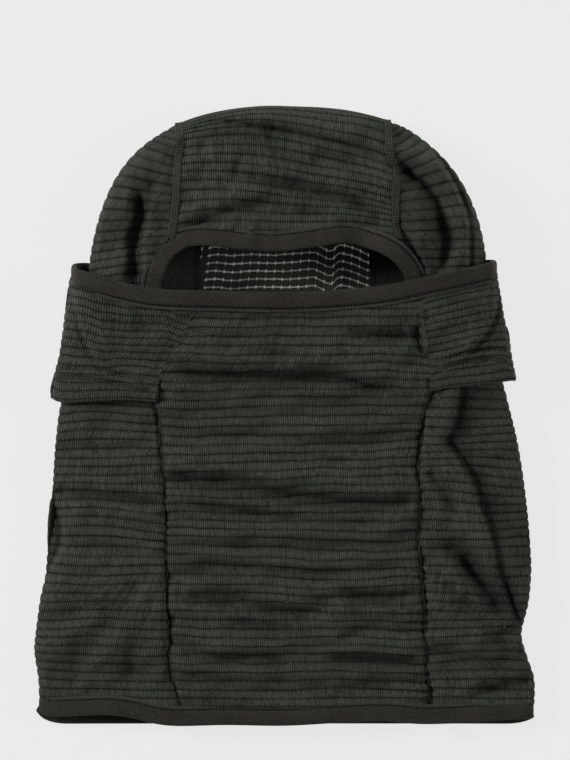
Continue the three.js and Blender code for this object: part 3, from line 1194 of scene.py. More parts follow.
@dataclass(frozen=True)
class SidePanel:
    """A panel that goes from a seam on the front, round the rim, to a seam on the back."""

    side: int
    low: float
    high: float
    front_seam: Profile
    back_seam: Profile
    relief: Callable[[Array, Array], Array]
    folds: tuple[Fold, ...]
    sag: float = 2.2
    seed: int = 5
    ruche: Ruche | None = None
    fan: Profile = Profile(((-200, 0), (200, 0)))

    def section(self, bag: LaidBag, y: Array, points: int = 150) -> Array:
        """Dense sections of the panel in each row, from the back seam to the front seam.

        Args:
            bag: the laid bag.
            y: height of each row.
            points: places on each half of a section.

        Returns:
            Places, shape (rows, 2 * points, 3).
        """
        middle, half = bag.middle(y), bag.half(y)
        seam = np.clip(np.abs(self.front_seam.at(y) - middle) / half, 0, 1)[:, None]
        rear = np.clip(np.abs(self.back_seam.at(y) - middle) / half, 0, 1)[:, None]
        turn = np.linspace(0, 1, points)[None, :]
        behind = np.arccos(rear ** (bag.back_power / 2)) * (1 - turn)
        before = np.arccos(seam ** (bag.front_power / 2)) * turn
        x_back = np.cos(behind) ** (2 / bag.back_power)
        x_front = np.cos(before) ** (2 / bag.front_power)
        back_out = (x_back - rear) / np.maximum(1 - rear, 1e-3)
        front_out = (x_front - seam) / np.maximum(1 - seam, 1e-3)
        y = y[:, None] + self.fan.at(y)[:, None] * np.concatenate([back_out, front_out], axis=1)
        back, front = y[:, :points], y[:, points:]
        fall = (bag.rim(back) + bag.press) * bag.fade(back, bag.back_power)
        z_back = bag.rim(back) - fall * np.sin(behind) ** (2 / bag.back_power)
        rise = (bag.crest(front) - bag.rim(front)) * bag.fade(front, bag.front_power)
        z_front = bag.rim(front) + rise * np.sin(before) ** (2 / bag.front_power)
        x = bag.middle(y) + self.side * bag.half(y) * np.concatenate([x_back, x_front], axis=1)
        z = np.maximum(np.concatenate([z_back, z_front], axis=1), 0.0)
        return np.stack([x, y, z], axis=2)

    def build(self, shop: Workshop) -> Cloth:
        """Makes the panel's cloth."""
        v, relief = shop.grid.rows(self.low, self.high)
        wide = self.section(shop.bag, np.linspace(self.low, self.high, 40))
        reach = np.linalg.norm(np.diff(wide, axis=1), axis=2).sum(axis=1).max()
        count = int(reach / shop.column)
        places, arcs = resampled(self.section(shop.bag, v), count)
        waves = Waves(self.seed, 90, 70)
        ends = smooth((v - self.low) / 14) * smooth((self.high - v) / 14)
        x, y = places[..., 0], places[..., 1]
        sagged = y + 0.5 * self.sag * waves.at(x, y) * ends[:, None]
        above = places[..., 2] - shop.bag.rim(y)
        on_front = smooth(above / 2.5)
        inland = smooth((above - 4) / 12)
        shifted = np.clip(shop.bag.front(x, sagged) - shop.bag.front(x, y), -6, 6) * inland
        swell = (self.relief(x, sagged) + shifted) * on_front
        if self.ruche:
            swell = swell + self.ruche.lift(np.abs(x - self.front_seam.at(v)[:, None]), sagged) * on_front
        places[..., 1] = sagged
        places[..., 2] += swell
        if self.side > 0:
            places, arcs = places[:, ::-1], arcs[:, ::-1]
        # Painted shade of the folds, faded out low down towards the rim and the back.
        dark = fold_shapes(self.folds, places[..., 0], places[..., 1])[1]
        dark = dark * smooth((places[..., 2] - 0.6 * shop.bag.rim(places[..., 1])) / 2.5)
        return Cloth(places, arcs, across_rows(v, arcs), across_rows(relief, arcs), dark)


# ---------------------------------------------------------------- hood


@dataclass
class Hood:
    """Crown strip, the two hood sides and the seams between them."""

    shop: Workshop
    front_low: float = 104.5
    seam_width: float = 5.0
    left_end: float = 176.0
    right_end: float = 177.5
    strip_width: float = 122.0
    back_fold: tuple[float, float, float] = (2.2, 32.0, 5.5)
    back_rows: Profile = Profile(
        (
            (-60, 1.6), (-44, 1.5), (-38, 0.8), (-31, 0), (0, 0.3), (16, 1.2), (20, 0.4), (26, -2.4),
            (29.5, -1.8), (32.5, 1.6), (38, 1.6), (44, 0), (51, -2.2), (60, -2.4),
        )
    )
    left_seam: Profile = Profile(
        (
            (20, -80), (60, -80), (79, -79.5), (94, -75), (104, -69.5), (112, -67), (120, -66.2),
            (136, -64.5), (152, -64), (163, -63), (176, -64),
        )
    )
    right_seam: Profile = Profile(
        (
            (20, 80), (60, 79.5), (83, 78), (91, 74.5), (101, 70), (108, 67.5), (116, 66),
            (131, 66), (146, 66), (159, 62.5), (177.5, 61.4),
        )
    )
    left_back: Profile = Profile(((20, -56), (60, -54), (120, -52), (150, -53), (164, -57), (176, -64)))
    right_back: Profile = Profile(((20, 56), (60, 54), (120, 52), (150, 53), (164, 56), (177.5, 61.4)))
    left_fan: Profile = Profile(
        ((25, 0), (90, -2), (110, 0), (125, 4), (140, 7), (155, 8), (166, 4), (176, 0))
    )
    right_fan: Profile = Profile(
        (
            (25, 0), (100, -2), (112, 0), (122, 4), (132, 9), (142, 13), (152, 13), (162, 9), (170, 4),
            (177, 0),
        )
    )
    folds: tuple[Fold, ...] = (
        Fold(
            ((-58, 176), (-40, 177), (-19, 174), (9, 170), (36, 163), (56, 154)),
            depth=2.4, width=2.4, step=3.6, edge=1.2, reach=12,
        ),
        Fold(((60, 155), (76, 144), (86, 135), (92, 121), (94, 106), (93, 80)), 7.0, 4.6, fade=0.2),
        Fold(((30, 168), (48, 160), (66, 150), (80, 140)), 2.6, 3.4),
        Fold(((-38, 146), (-20, 142), (2, 137), (33, 130), (51, 123), (62, 115)), 5.0, 3.4, step=-1.6),
        Fold(((-66, 110), (-44, 118), (-27, 124), (-8, 123)), 4.4, 3.6),
        Fold(((66, 122), (72, 106), (77, 95), (84, 80)), 4.0, 3.8),
        Fold(((-86, 146), (-88, 119), (-90, 100), (-89, 72)), 6.0, 3.6, fade=0.34),
        Fold(((-85, 66), (-86, 100), (-83, 119), (-77, 144)), step=-6.0, edge=0.8, reach=11, fade=0.1),
        Fold(
            ((111, 70), (110.7, 91), (110, 116), (105, 132), (97.5, 147), (88, 160), (80, 167)),
            depth=3.0, width=1.5, step=5.0, edge=0.9, reach=14, fade=0.2,
        ),
        Fold(((-54, 138), (-49, 149), (-43, 154)), 2.2, 3.6),
        Fold(((-24, 160), (9, 154), (39, 152), (54, 154)), 2.2, 4.0),
        Fold(((-58, 162), (-30, 166), (0, 163)), 1.8, 3.6),
        Fold(((-30, 128), (0, 124), (30, 118)), 2.4, 4.0),
        Fold(((-104, 128), (-100, 112), (-102, 92)), 1.6, 5.0),
    )

    def strip_lines(self, share: Array) -> tuple[Array, Array, Array]:
        """Lines of the crown strip's columns, up the front and down the back.

        Args:
            share: place of each column between the two seams, 0 to 1.

        Returns:
            The front and the back lines, shape (columns, points, 3), and the y of each column's top.
        """
        bag = self.shop.bag
        gap = self.seam_width / 2 - 1.2
        turn = np.linspace(0, 1, 130)
        left_top = self.left_seam.at(self.left_end) + gap
        right_top = self.right_seam.at(self.right_end) - gap
        top = bag.top(left_top + (right_top - left_top) * share)
        lines = []
        for low, left, right, height in (
            (self.front_low, self.left_seam, self.right_seam, bag.front),
            (HOOD_BOTTOM, self.left_back, self.right_back, bag.back),
        ):
            y = low + (top[:, None] - low) * np.sin(turn[None, :] * math.pi / 2)
            x_left, x_right = left.at(y) + gap, right.at(y) - gap
            x = x_left + (x_right - x_left) * share[:, None]
            y = np.minimum(y, bag.top(x))
            lines.append(np.stack([x, y, height(x, y)], axis=2))
        return lines[0], lines[1][:, ::-1], top

    def strip(self) -> Cloth:
        """Cloth of the crown strip, from the opening's top over the crown and down the back."""
        shop, bag = self.shop, self.shop.bag
        share = np.linspace(0, 1, 100)
        front, back, top = self.strip_lines(share)
        lengths = []
        for line in (front, back):
            length = np.linalg.norm(np.diff(line, axis=1), axis=2).sum(axis=1)
            lengths.append(np.polyval(np.polyfit(share, length, 4), share))
        front_length, back_length = lengths
        mean_front, mean_back = front_length.mean(), back_length.mean()
        total = mean_front + mean_back
        v, relief = shop.grid.rows(0.0, total)
        places = np.empty((len(v), len(share), 3))
        for i in range(len(share)):
            line = np.vstack([front[i], back[i][1:]])
            arc = arc_lengths(line)
            on_back = front_length[i] + (v - mean_front) * back_length[i] / mean_back
            wanted = np.where(v < mean_front, v * front_length[i] / mean_front, on_back)
            for k in range(3):
                places[:, i, k] = np.interp(wanted, arc, line[:, k])
        x, y = places[..., 0].copy(), places[..., 1].copy()
        on_front = smooth((places[..., 2] - 15.0) / 3) * (v < mean_front)[:, None]
        ends = smooth(v / 12)[:, None] * smooth((total - v) / 12)[:, None]
        below_top = smooth((top[None, :] - y) / 22)
        places[..., 1] += Waves(11, 90, 60).at(x, y) * ends * on_front
        places[..., 1] -= x / 60 * 9.0 * smooth((y - 108) / 34) * below_top * on_front
        for seam, weight in ((self.left_seam, 1 - share), (self.right_seam, share)):
            places[..., 0] += (seam.at(places[..., 1]) - seam.at(y)) * weight * on_front
        shifted = np.clip(bag.front(x, places[..., 1]) - bag.front(x, y), -6, 6) * below_top
        x = places[..., 0]
        places[..., 2] += (self.relief(x, places[..., 1]) + shifted) * on_front
        behind = smooth((v - mean_front - 20) / 30)[:, None] * ends
        places[..., 1] += self.back_rows.at(x) * behind
        height, place, width = self.back_fold
        places[..., 2] += height * np.exp(-(((x - place) / width) ** 2)) * behind
        u = np.broadcast_to(share[None, :] * self.strip_width, x.shape)
        # Painted shade of the folds, on the front only.
        dark = fold_shapes(self.folds, x, places[..., 1])[1] * on_front
        return Cloth(places, u, across_rows(v, u), across_rows(relief, u), dark)

    def relief(self, x: Array, y: Array) -> Array:
        """Height that folds and softness add to the hood's front."""
        soft = 1.3 * Waves(12, 34, 26).at(x, y) + 0.7 * Waves(13, 14, 20).at(x, y)
        inland = smooth((y - 25) / 12) * smooth((self.shop.bag.top(x) - y) / 10)
        return lift_of(self.folds, x, y) + soft * inland

    def height(self, x: Array, y: Array) -> Array:
        """Height of the hood's front with its folds."""
        return self.shop.bag.front(x, y) + self.relief(x, y)

    def build(self) -> None:
        """Makes the strip, the sides and their seams."""
        shop, look = self.shop, self.shop.finish
        strip = self.strip()
        shop.sheet(strip, "crown_and_back_cloth", "crown_back_panel", look.inside, (0.126, 0.262))
        for side, name, front, back, fan in (
            (-1, "left", self.left_seam, self.left_back, self.left_fan),
            (1, "right", self.right_seam, self.right_back, self.right_fan),
        ):
            high = float(shop.bag.top(front.at(self.left_end))) - 0.3
            panel = SidePanel(
                side, HOOD_BOTTOM, high, front, back, self.relief, self.folds, 1.8, 20 + side, fan=fan
            )
            flat = (0.155, 0.155)
            shop.sheet(panel.build(shop), f"{name}_hood_cloth", f"hood_side_{name}", look.inside_side, flat)
            self.seam(name, front, back, high)

    def seam(self, name: str, front: Profile, back: Profile, high: float) -> None:
        """Band and stitches of one crown seam, from the opening over the rim to the back.

        Args:
            name: side of the seam.
            front: the seam's line on the front.
            back: its line on the back.
            high: y of its highest place.
        """
        shop, bag = self.shop, self.shop.bag
        y_front = 106 + (high - 106) * np.sin(np.linspace(0, 1, 90) * math.pi / 2)
        y_back = 26 + (high - 26) * np.sin(np.linspace(1, 0, 120) * math.pi / 2)
        reach = np.array([-1.6, 0.0, 1.6])[:, None]
        x_front, x_back = front.at(y_front) + reach, back.at(y_back) + reach
        folded = self.relief(x_front, np.broadcast_to(y_front, x_front.shape))
        z_front = bag.front(x_front, y_front) + folded * smooth((high - y_front) / 8) + 0.1
        z_back = bag.back(x_back, y_back)
        x, z = np.hstack([x_front, x_back[:, 1:]]), np.hstack([z_front, z_back[:, 1:]])
        path = np.column_stack([x[1], np.r_[y_front, y_back[1:]], np.maximum(z.mean(axis=0), 0.9)])
        across = np.column_stack([x[0] - x[2], np.zeros(len(path)), z[0] - z[2]])
        arc = arc_lengths(path)
        spaced = np.linspace(0, arc[-1], 190)
        path, across = (
            np.stack([np.interp(spaced, arc, line[:, k]) for k in range(3)], axis=1)
            for line in (path, across)
        )
        for _ in range(2):
            path[1:-1] = (path[:-2] + path[1:-1] * 2 + path[2:]) / 4
        tangent = unit(np.gradient(path, axis=0))
        across = unit(across - tangent * (across * tangent).sum(axis=1)[:, None])
        up = np.cross(tangent, across)
        piece = band(f"{name}_crown_seam", path, across, up, self.seam_width, 0.7, shop.finish.seam, sides=12)
        shop.dress(piece, GARMENT, "stitch_thread", f"crown_seam_{name}")
        row = StitchRow(1.5, 1.9, 0.42, StitchKind.SLANTED)
        for number, shift in enumerate((-1.5, 0.0, 1.5)):
            line = path + across * shift + up * 0.72
            stitches = row.lay(f"{name}_crown_stitches_{number}", line, up, shop.finish.thread)
            shop.dress(stitches, GARMENT, "stitch_thread")


# ---------------------------------------------------------------- opening


@dataclass
class FaceOpening:
    """Binding of the face opening, on the hood's edge."""

    shop: Workshop
    hood: Hood
    edge: BoundEdge = BoundEdge(11.8, 2.2, 1.7, 1)
    path: Points = (
        (-80, 26), (-80.5, 45), (-80, 62), (-79.5, 77), (-76, 90), (-69.5, 100), (-59, 106.3), (-46, 107.3),
        (-26, 105), (-5, 103.8), (17, 106.3), (36.5, 108.8), (55, 104), (67, 97.3), (75, 88), (78.5, 78),
        (79.5, 60), (80, 45), (80, 26),
    )

    def build(self) -> None:
        """Makes the binding, its lip and its coverstitches."""
        shop = self.shop
        line = shop.line(self.path, self.hood.height, 260)
        for _ in range(8):
            line[1:-1, 2] = (line[:-2, 2] + 2 * line[1:-1, 2] + line[2:, 2]) / 4
        across, up = shop.frame_of(line, shop.bag.front)
        body, lip, stitches = self.edge.build("opening_edge", line + up * 0.3, across, up, shop.finish)
        shop.dress(body, GARMENT, "binding_knit", "opening_binding")
        shop.dress(lip, GARMENT, "binding_knit")
        shop.dress(stitches, GARMENT, "stitch_thread", "opening_coverstitch")


# ---------------------------------------------------------------- neck


@dataclass
class Neck:
    """Neck sides, back panel, seams, elastics, hem binding and label."""

    shop: Workshop
    left_seam: Profile = Profile(
        (
            (-186, -62), (-175, -63), (-158, -68), (-141, -70), (-119, -71), (-98, -72), (-61, -72),
            (-45, -73), (-26, -74), (-4, -75), (10, -76), (24, -75),
        )
    )
    right_seam: Profile = Profile(
        (
            (-186, 88), (-170, 87), (-154, 86), (-130, 84), (-108, 83), (-97, 82), (-83, 81), (-69, 80),
            (-45, 81), (-26, 81), (-2, 84), (7, 84), (15, 86), (24, 86),
        )
    )
    back_half: float = 58.0
    hem_half: float = 147.6
    hem_back: float = -180.4
    hinge_start: float = 0.88
    hem_front: Profile = Profile(
        (
            (-149, -171.5), (-145, -174), (-140, -175.5), (-120, -174.5), (-105, -174.2), (-90, -176.2),
            (-78, -179.2), (-64, -180.6), (-35, -180), (0, -180.4), (33, -178.6), (60, -177.6),
            (80, -179.4), (100, -179.2), (120, -178), (149, -176.5),
        )
    )
    folds: tuple[Fold, ...] = (
        Fold(((-140, -44), (-120, -48), (-105, -49), (-72, -53)), 4.2, 3.4, fade=0.1),
        Fold(((-138, -16), (-110, -20), (-76, -18)), 2.2, 4.0),
        Fold(((-136, -74), (-108, -80), (-76, -86)), 2.2, 4.6),
        Fold(((-84, -94), (-98, -114), (-111, -128), (-123, -145), (-134, -166)), 3.4, 6.5, fade=0.3),
        Fold(((-74, -104), (-84, -122), (-92, -146), (-96, -170)), 2.0, 6.0, fade=0.3),
        Fold(
            ((-145, -104), (-140, -88), (-135, -77), (-135, -66), (-139, -46)),
            depth=1.6, width=1.6, step=-4.0, edge=0.8, reach=8, fade=0.35,
        ),
        Fold(((-112, -110), (-126, -118), (-146, -124)), 2.6, 4.6),
        Fold(((-118, -150), (-100, -152), (-80, -158)), 2.0, 4.6),
        Fold(((86, -80), (98, -79), (110, -87), (121, -103), (132, -120), (143, -134)), 10.0, 6.6, fade=0.36),
        Fold(((88, -96), (106, -112), (126, -132), (145, -150)), 3.4, 4.6),
        Fold(
            (
                (141, -129), (135, -111), (128, -95), (123, -71), (117, -54), (112, -38), (104, -25),
                (97, -15), (102, -3), (106, 22),
            ),
            depth=2.6, width=2.4, step=8.0, edge=1.2, reach=15, fade=0.05,
        ),
        Fold(((84, -136), (104, -146), (126, -150), (148, -148)), 3.0, 4.4),
        Fold(((108, -168), (129, -163), (150, -160)), 4.4, 3.6),
        Fold(((84, -30), (94, -44), (106, -62)), 3.4, 3.8),
        Fold(((84, -4), (92, -10), (98, -24)), 2.4, 3.0),
    )

    def relief(self, x: Array, y: Array) -> Array:
        """Height that folds and softness add to the neck's sides."""
        soft = 1.3 * Waves(42, 30, 44).at(x, y) + 0.6 * Waves(43, 16, 18).at(x, y)
        return lift_of(self.folds, x, y) + soft * smooth((20 - y) / 16) * smooth((y + 176) / 12)

    def build(self) -> None:
        """Makes the neck's pieces."""
        for side, name, front in ((-1, "left", self.left_seam), (1, "right", self.right_seam)):
            self.side(side, name, front)
            self.gathered_seam(side, name, front)
            self.back_seam(side, name)
        self.back()
        self.hem()
        self.hinge()
        self.label()

    def side(self, side: int, name: str, front: Profile) -> None:
        """One side of the neck, from the gathered seam round the rim to the back."""
        shop, look = self.shop, self.shop.finish
        back = Profile(((-186, side * self.back_half), (24, side * self.back_half)))
        ruche = Ruche(60 + side)
        panel = SidePanel(
            side, HEM_LINE, NECK_TOP, front, back, self.relief, self.folds, 2.4, 40 + side, ruche
        )
        flat = (0.18, 0.197)
        shop.sheet(panel.build(shop), f"{name}_neck_cloth", f"neck_side_{name}", look.inside_side, flat)

    def gathered_seam(self, side: int, name: str, front: Profile) -> None:
        """Dark sewn line of a gathered seam, and the clear elastic inside it."""
        shop, bag = self.shop, self.shop.bag
        y = np.linspace(HEM_LINE + 1, NECK_TOP - 0.6, 420)
        x = front.at(y) + 0.3 * Waves(80 + side, 900, 9).at(0 * y, y)
        uneven = 0.35 * Waves(82 + side, 900, 8).at(0 * y, y)
        path = np.column_stack([x, y, bag.front(x, y) - 3.1 + uneven])
        across, up = frame_along(path, (1.0, 0.0, 0.0))
        piece = band(f"{name}_ruched_seam", path, across, up, 1.5, 0.7, shop.finish.dark_thread, sides=8)
        shop.dress(piece, GARMENT, "stitch_thread", f"ruched_seam_{name}")
        low = path[::4] - np.array([0.0, 0.0, 3.2])
        across, up = frame_along(low, (1.0, 0.0, 0.0))
        piece = band(f"{name}_elastic", low, across, up, 6.0, 0.35, shop.finish.elastic, sides=8)
        shop.dress(piece, GARMENT, "clear_elastic", f"ruche_elastic_{name}")

    def back_seam(self, side: int, name: str) -> None:
        """Flat seam at the side of the back."""
        shop, bag = self.shop, self.shop.bag
        y = np.linspace(HEM_LINE + 1, NECK_TOP, 120)
        x = np.full_like(y, side * self.back_half)
        path = np.column_stack([x, y, bag.back(x, y) + 0.7])
        across, up = frame_along(path, (1.0, 0.0, 0.0))
        piece = band(f"{name}_back_seam", path, across, up, 4.0, 0.6, shop.finish.binding, sides=10)
        shop.dress(piece, GARMENT, "stitch_thread", f"back_seam_{name}")

    def back(self) -> None:
        """Back of the neck."""
        shop, look, bag = self.shop, self.shop.finish, self.shop.bag
        v, relief = shop.grid.rows(HEM_LINE, NECK_TOP)
        half = self.back_half - 1
        x = np.broadcast_to(np.linspace(half, -half, 80)[None, :], (len(v), 80))
        y = across_rows(v, x)
        cloth = Cloth(np.stack([x, y, bag.back(x, y)], axis=2), x, y, across_rows(relief, x))
        piece = cloth.solid("neck_back_cloth", look.fleece, look.inside, shop.thickness)
        shop.dress(piece, GARMENT, "grid_fleece", "neck_back_panel")

    def hem(self) -> None:
        """Binding of the hem, a flattened ring."""
        shop, bag = self.shop, self.shop.bag
        angle = np.linspace(0, FULL_TURN, 460, endpoint=False)
        x = 0.8 + self.hem_half * signed_power(np.cos(angle), 2 / bag.outline_power)
        front = np.sin(angle) >= 0
        share = np.abs(np.sin(angle))
        front_y = self.hem_front.at(x)
        turned = smooth(1 - share * 2)
        y = np.where(front, front_y, front_y * turned + self.hem_back * (1 - turned))
        z_front = bag.rim(y) + (bag.crest(y) - bag.rim(y)) * share ** (2 / bag.front_power)
        z_back = bag.rim(y) - (bag.rim(y) - 1.0) * share ** (2 / bag.back_power)
        path = np.column_stack([x, y, np.where(front, z_front + 0.2, z_back)])[::-1]
        across, up = frame_along(path, (0.0, 1.0, 0.0), closed=True)
        edge = BoundEdge(11.4, 1.9, 1.6, 1)
        body, lip, stitches = edge.build("hem_edge", path, across, up, shop.finish, closed=True)
        shop.dress(body, GARMENT, "binding_knit", "hem_binding")
        shop.dress(lip, GARMENT, "binding_knit")
        shop.dress(stitches, GARMENT, "stitch_thread", "hem_coverstitch")

    def hinge(self) -> None:
        """Seam between hood and neck, round the sides and the back."""
        shop, bag, y = self.shop, self.shop.bag, HINGE_LINE
        angle = np.linspace(self.hinge_start, -math.pi - self.hinge_start, 260)
        front = np.sin(angle) > 0
        power = np.where(front, bag.front_power, bag.back_power)
        x = bag.middle(y) + bag.half(y) * signed_power(np.cos(angle), 2 / power)
        share = np.abs(np.sin(angle)) ** (2 / power)
        rim = bag.rim(y)
        z = np.where(front, rim + (bag.crest(y) - rim) * share, rim - (rim + bag.press) * share)
        path = even(np.column_stack([x, np.full_like(x, y), np.maximum(z, 0.7)]), 220)
        across, up = frame_along(path, (0.0, 1.0, 0.0))
        piece = band("hinge_seam_band", path, across, up, 3.4, 0.7, shop.finish.binding, sides=10)
        shop.dress(piece, GARMENT, "stitch_thread", "hinge_seam")

    def label(self) -> None:
        """Blank care label inside the back."""
        (x0, y0, z0), (x1, y1, _) = (np.array(corner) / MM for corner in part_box("care_label"))
        u, v = np.meshgrid(np.linspace(x0, x1, 24), np.linspace(y0, y1, 34))
        z = np.full_like(u, z0 + 0.5) + 0.25 * Waves(91, 18, 14).at(u, v)
        cloth = Cloth(np.stack([u, v, z], axis=2), u, v, np.zeros_like(u))
        piece = cloth.solid("care_label_cloth", self.shop.finish.label, self.shop.finish.label, 0.3)
        self.shop.dress(piece, GARMENT, "label_cloth", "care_label")


# ---------------------------------------------------------------- front panel and mask


@dataclass(frozen=True)
class Wing:
    """Outline, stitched rows and folds of one side wing of the mask."""

    side: int
    name: str
    inner: Profile
    outer: Profile
    bottom: Profile
    top: Profile
    rows: tuple[Points, Points]
    folds: tuple[Fold, ...]

    @property
    def hem_folds(self) -> tuple[Fold, ...]:
        """Furrows that the stitched rows press into the cloth."""
        return tuple(Fold(row, depth=2.2, width=1.1, fade=0.02) for row in self.rows)


LEFT_WING = Wing(
    side=-1,
    name="left",
    inner=Profile(((6, -78), (22, -74.5), (35, -67.5), (55, -56.5), (82, -54))),
    outer=Profile(
        (
            (3, -135.5), (7, -138.5), (13, -140.6), (18, -140.4), (27, -138), (38, -135), (59, -132.5),
            (79, -130), (84, -128),
        )
    ),
    bottom=Profile(((-141, 13), (-132, 9.6), (-110, 10.6), (-95, 11), (-78, 9.8))),
    top=Profile(((-130, 84), (-122, 81), (-112, 78), (-93, 73), (-73, 69.5), (-54, 68))),
    rows=(
        ((-135, 28.5), (-112, 28), (-100, 25), (-82, 20)),
        ((-137, 23), (-118, 22.5), (-100, 19), (-80, 14.8)),
    ),
    folds=(
        Fold(
            ((-128, 84), (-127, 68), (-122, 52), (-116, 38), (-106, 22)),
            depth=0.8, width=1.8, step=3.2, edge=0.8, reach=13, fade=0.3,
        ),
        Fold(((-104, 74), (-100, 50), (-104, 30)), 1.4, 5.0),
        Fold(((-84, 70), (-86, 46), (-84, 28)), 1.4, 4.5),
        Fold(((-112, 60), (-90, 52), (-66, 56)), 1.6, 4.0),
        Fold(((-118, 70), (-96, 66), (-78, 68)), 1.2, 4.0),
    ),
)
RIGHT_WING = Wing(
    side=1,
    name="right",
    inner=Profile(((6, 87.5), (23, 86.5), (36, 84.5), (47, 82), (64, 80), (82, 80))),
    outer=Profile(
        ((10, 133), (17, 136.5), (25, 138), (36, 136), (49, 134.5), (58, 131.5), (70, 129.5), (84, 127))
    ),
    bottom=Profile(((86, 16), (100, 18.6), (120, 20.8), (132, 22.6), (138, 20))),
    top=Profile(((80, 75), (93, 78.5), (110, 82.5), (121, 85), (130, 86))),
    rows=(
        ((88, 30), (104, 36.5), (122, 40), (132, 39.5)),
        ((88, 26), (104, 31.5), (122, 33.5), (133, 32.5)),
    ),
    folds=(
        Fold(
            ((104, 32), (117, 45), (125, 58), (127, 72), (126, 86)),
            depth=2.2, width=1.8, step=3.6, edge=0.7, reach=13,
        ),
        Fold(((80, 66), (84, 52), (86, 38)), 2.6, 3.0),
        Fold(((96, 70), (112, 62), (122, 54)), 1.6, 4.0),
        Fold(((88, 48), (100, 52), (112, 52)), 1.4, 4.0),
    ),
)


@dataclass
class Mask:
    """The part that hinges down: its binding, wings and seams, and the panel that runs on into the neck."""

    shop: Workshop
    edge_height: float = 20.0
    half_low: float = 139.0
    half_high: float = 129.0
    lift: float = 4.4
    power: float = 3.2
    wing_length: float = 74.0
    turned_under: float = 10.0
    turn_radius: float = 1.5
    panel_width: float = 156.0
    wing_width: float = 62.0
    edge: BoundEdge = BoundEdge(11.8, 2.2, 1.9, -1)
    binding_path: Points = (
        (-122, 81.6), (-112, 78.5), (-93, 73.2), (-73, 70), (-40, 69), (0, 68.2), (30, 69.5), (54, 71.5),
        (69, 74), (93, 79.3), (110, 83), (121, 85.8),
    )
    left_roll: Places = (
        (-113.0, 85.5, 8.5), (-119.0, 86.2, 9.5), (-123.8, 86.0, 13.5), (-125.4, 85.0, 19.0),
        (-124.4, 83.2, 26.5),
    )
    right_roll: Places = (
        (122.8, 86.7, 27.5), (124.2, 87.6, 20.5), (123.0, 88.0, 14.0), (119.0, 88.2, 10.0),
        (114.0, 88.0, 8.5),
    )
    left_edge: Profile = Profile(
        (
            (-176, -63), (-158, -68), (-141, -70), (-119, -71), (-98, -72), (-61, -72), (-45, -73),
            (-26, -74), (-4, -75), (8, -78), (22, -76), (35, -69), (55, -58), (70, -56),
        )
    )
    right_edge: Profile = Profile(
        (
            (-176, 87), (-154, 86), (-130, 84), (-108, 83), (-97, 82), (-83, 81), (-69, 80), (-45, 81),
            (-26, 81), (-2, 84), (16, 88), (36, 87), (53, 83), (70, 83),
        )
    )
    folds: tuple[Fold, ...] = (
        Fold(
            ((-76, 27), (-39, 25), (0, 24), (33, 23), (54, 17), (72, 15)),
            depth=4.4, width=4.2, step=3.6, edge=1.6, reach=20, fade=0.16,
        ),
        Fold(((34, 50), (60, 47), (75, 49), (84, 44)), 4.2, 4.4),
        Fold(((78, 56), (80, 48), (80, 36)), 2.6, 2.6),
        Fold(((-27, 53), (-20, 59), (-6, 59)), 1.4, 2.2),
        Fold(((-60, 56), (-40, 44), (-12, 38), (16, 40)), 1.6, 4.5),
        Fold(((-74, 3), (-30, 2), (30, 4), (80, 3)), 1.0, 3.0),
        Fold(((-74, -16), (-20, -13), (40, -16), (80, -14)), 1.4, 3.0),
        Fold(
            ((-74, -35), (-51, -40), (-27, -43), (3, -48), (27, -52), (57, -54), (82, -48)),
            depth=5.0, width=4.6, fade=0.12,
        ),
        Fold(((-74, -52), (-40, -56), (-3, -61), (52, -64), (82, -59)), 2.6, 3.2),
        Fold(((-74, -74), (-30, -78), (20, -80), (60, -74)), 2.2, 3.6),
        Fold(((-72, -94), (-33, -92), (27, -95), (57, -92), (83, -92)), 2.8, 3.2),
        Fold(((-70, -108), (-33, -112), (3, -118), (30, -120)), 4.2, 4.4),
        Fold(((28, -104), (57, -110), (82, -106)), 3.2, 3.2),
        Fold(((-68, -134), (-54, -142), (-34, -147), (-14, -146), (6, -151)), 4.0, 4.0),
        Fold(((-66, -158), (-40, -160), (0, -164), (40, -162)), 2.0, 4.4),
        Fold(((20, -145), (52, -147), (86, -148)), 4.2, 3.4),
        Fold(((27, -138), (47, -129), (68, -128), (84, -129)), 2.0, 3.2),
        Fold(((-40, -120), (-10, -128), (20, -131)), 2.0, 4.0),
    )

    def sheet_height(self, x: Array, y: Array) -> Array:
        """Height of the hanging mask over (x, y)."""
        half = self.half_low + (self.half_high - self.half_low) * smooth((y - 9.5) / 75)
        side = smooth((np.abs(x) - 40) / 28)
        crest = self.shop.bag.crest(y) + 2.5 + (self.lift - 2.5) * side
        return self.edge_height + (crest - self.edge_height) * arch(np.clip(x / half, -1, 1), self.power)

    def panel_height(self, x: Array, y: Array) -> Array:
        """Height of the front panel, which is the neck's front low down and the mask's high up."""
        share = smooth((y + 8) / 28)
        return self.shop.bag.front(x, y) * (1 - share) + self.sheet_height(x, y) * share

    def panel_relief(self, x: Array, y: Array) -> tuple[Array, Array]:
        """Height that folds and softness add to the front panel, and the painted shade of its folds."""
        lifted, dark = fold_shapes(self.folds, x, y)
        soft = 1.1 * Waves(32, 120, 17).at(x, y) + 0.9 * Waves(33, 30, 22).at(x, y)
        return 1.5 * lifted + soft * self.away_from_ends(y), dark

    @staticmethod
    def away_from_ends(y: Array) -> Array:
        """1 over the front panel, falling to 0 at its hem and at the mask's edge."""
        return smooth((y - HEM_LINE) / 14) * smooth((MASK_TOP - y) / 14)

    def build(self) -> None:
        """Makes the front panel, the wings and the binding."""
        self.front_panel()
        self.wing(LEFT_WING)
        self.wing(RIGHT_WING)
        self.binding()

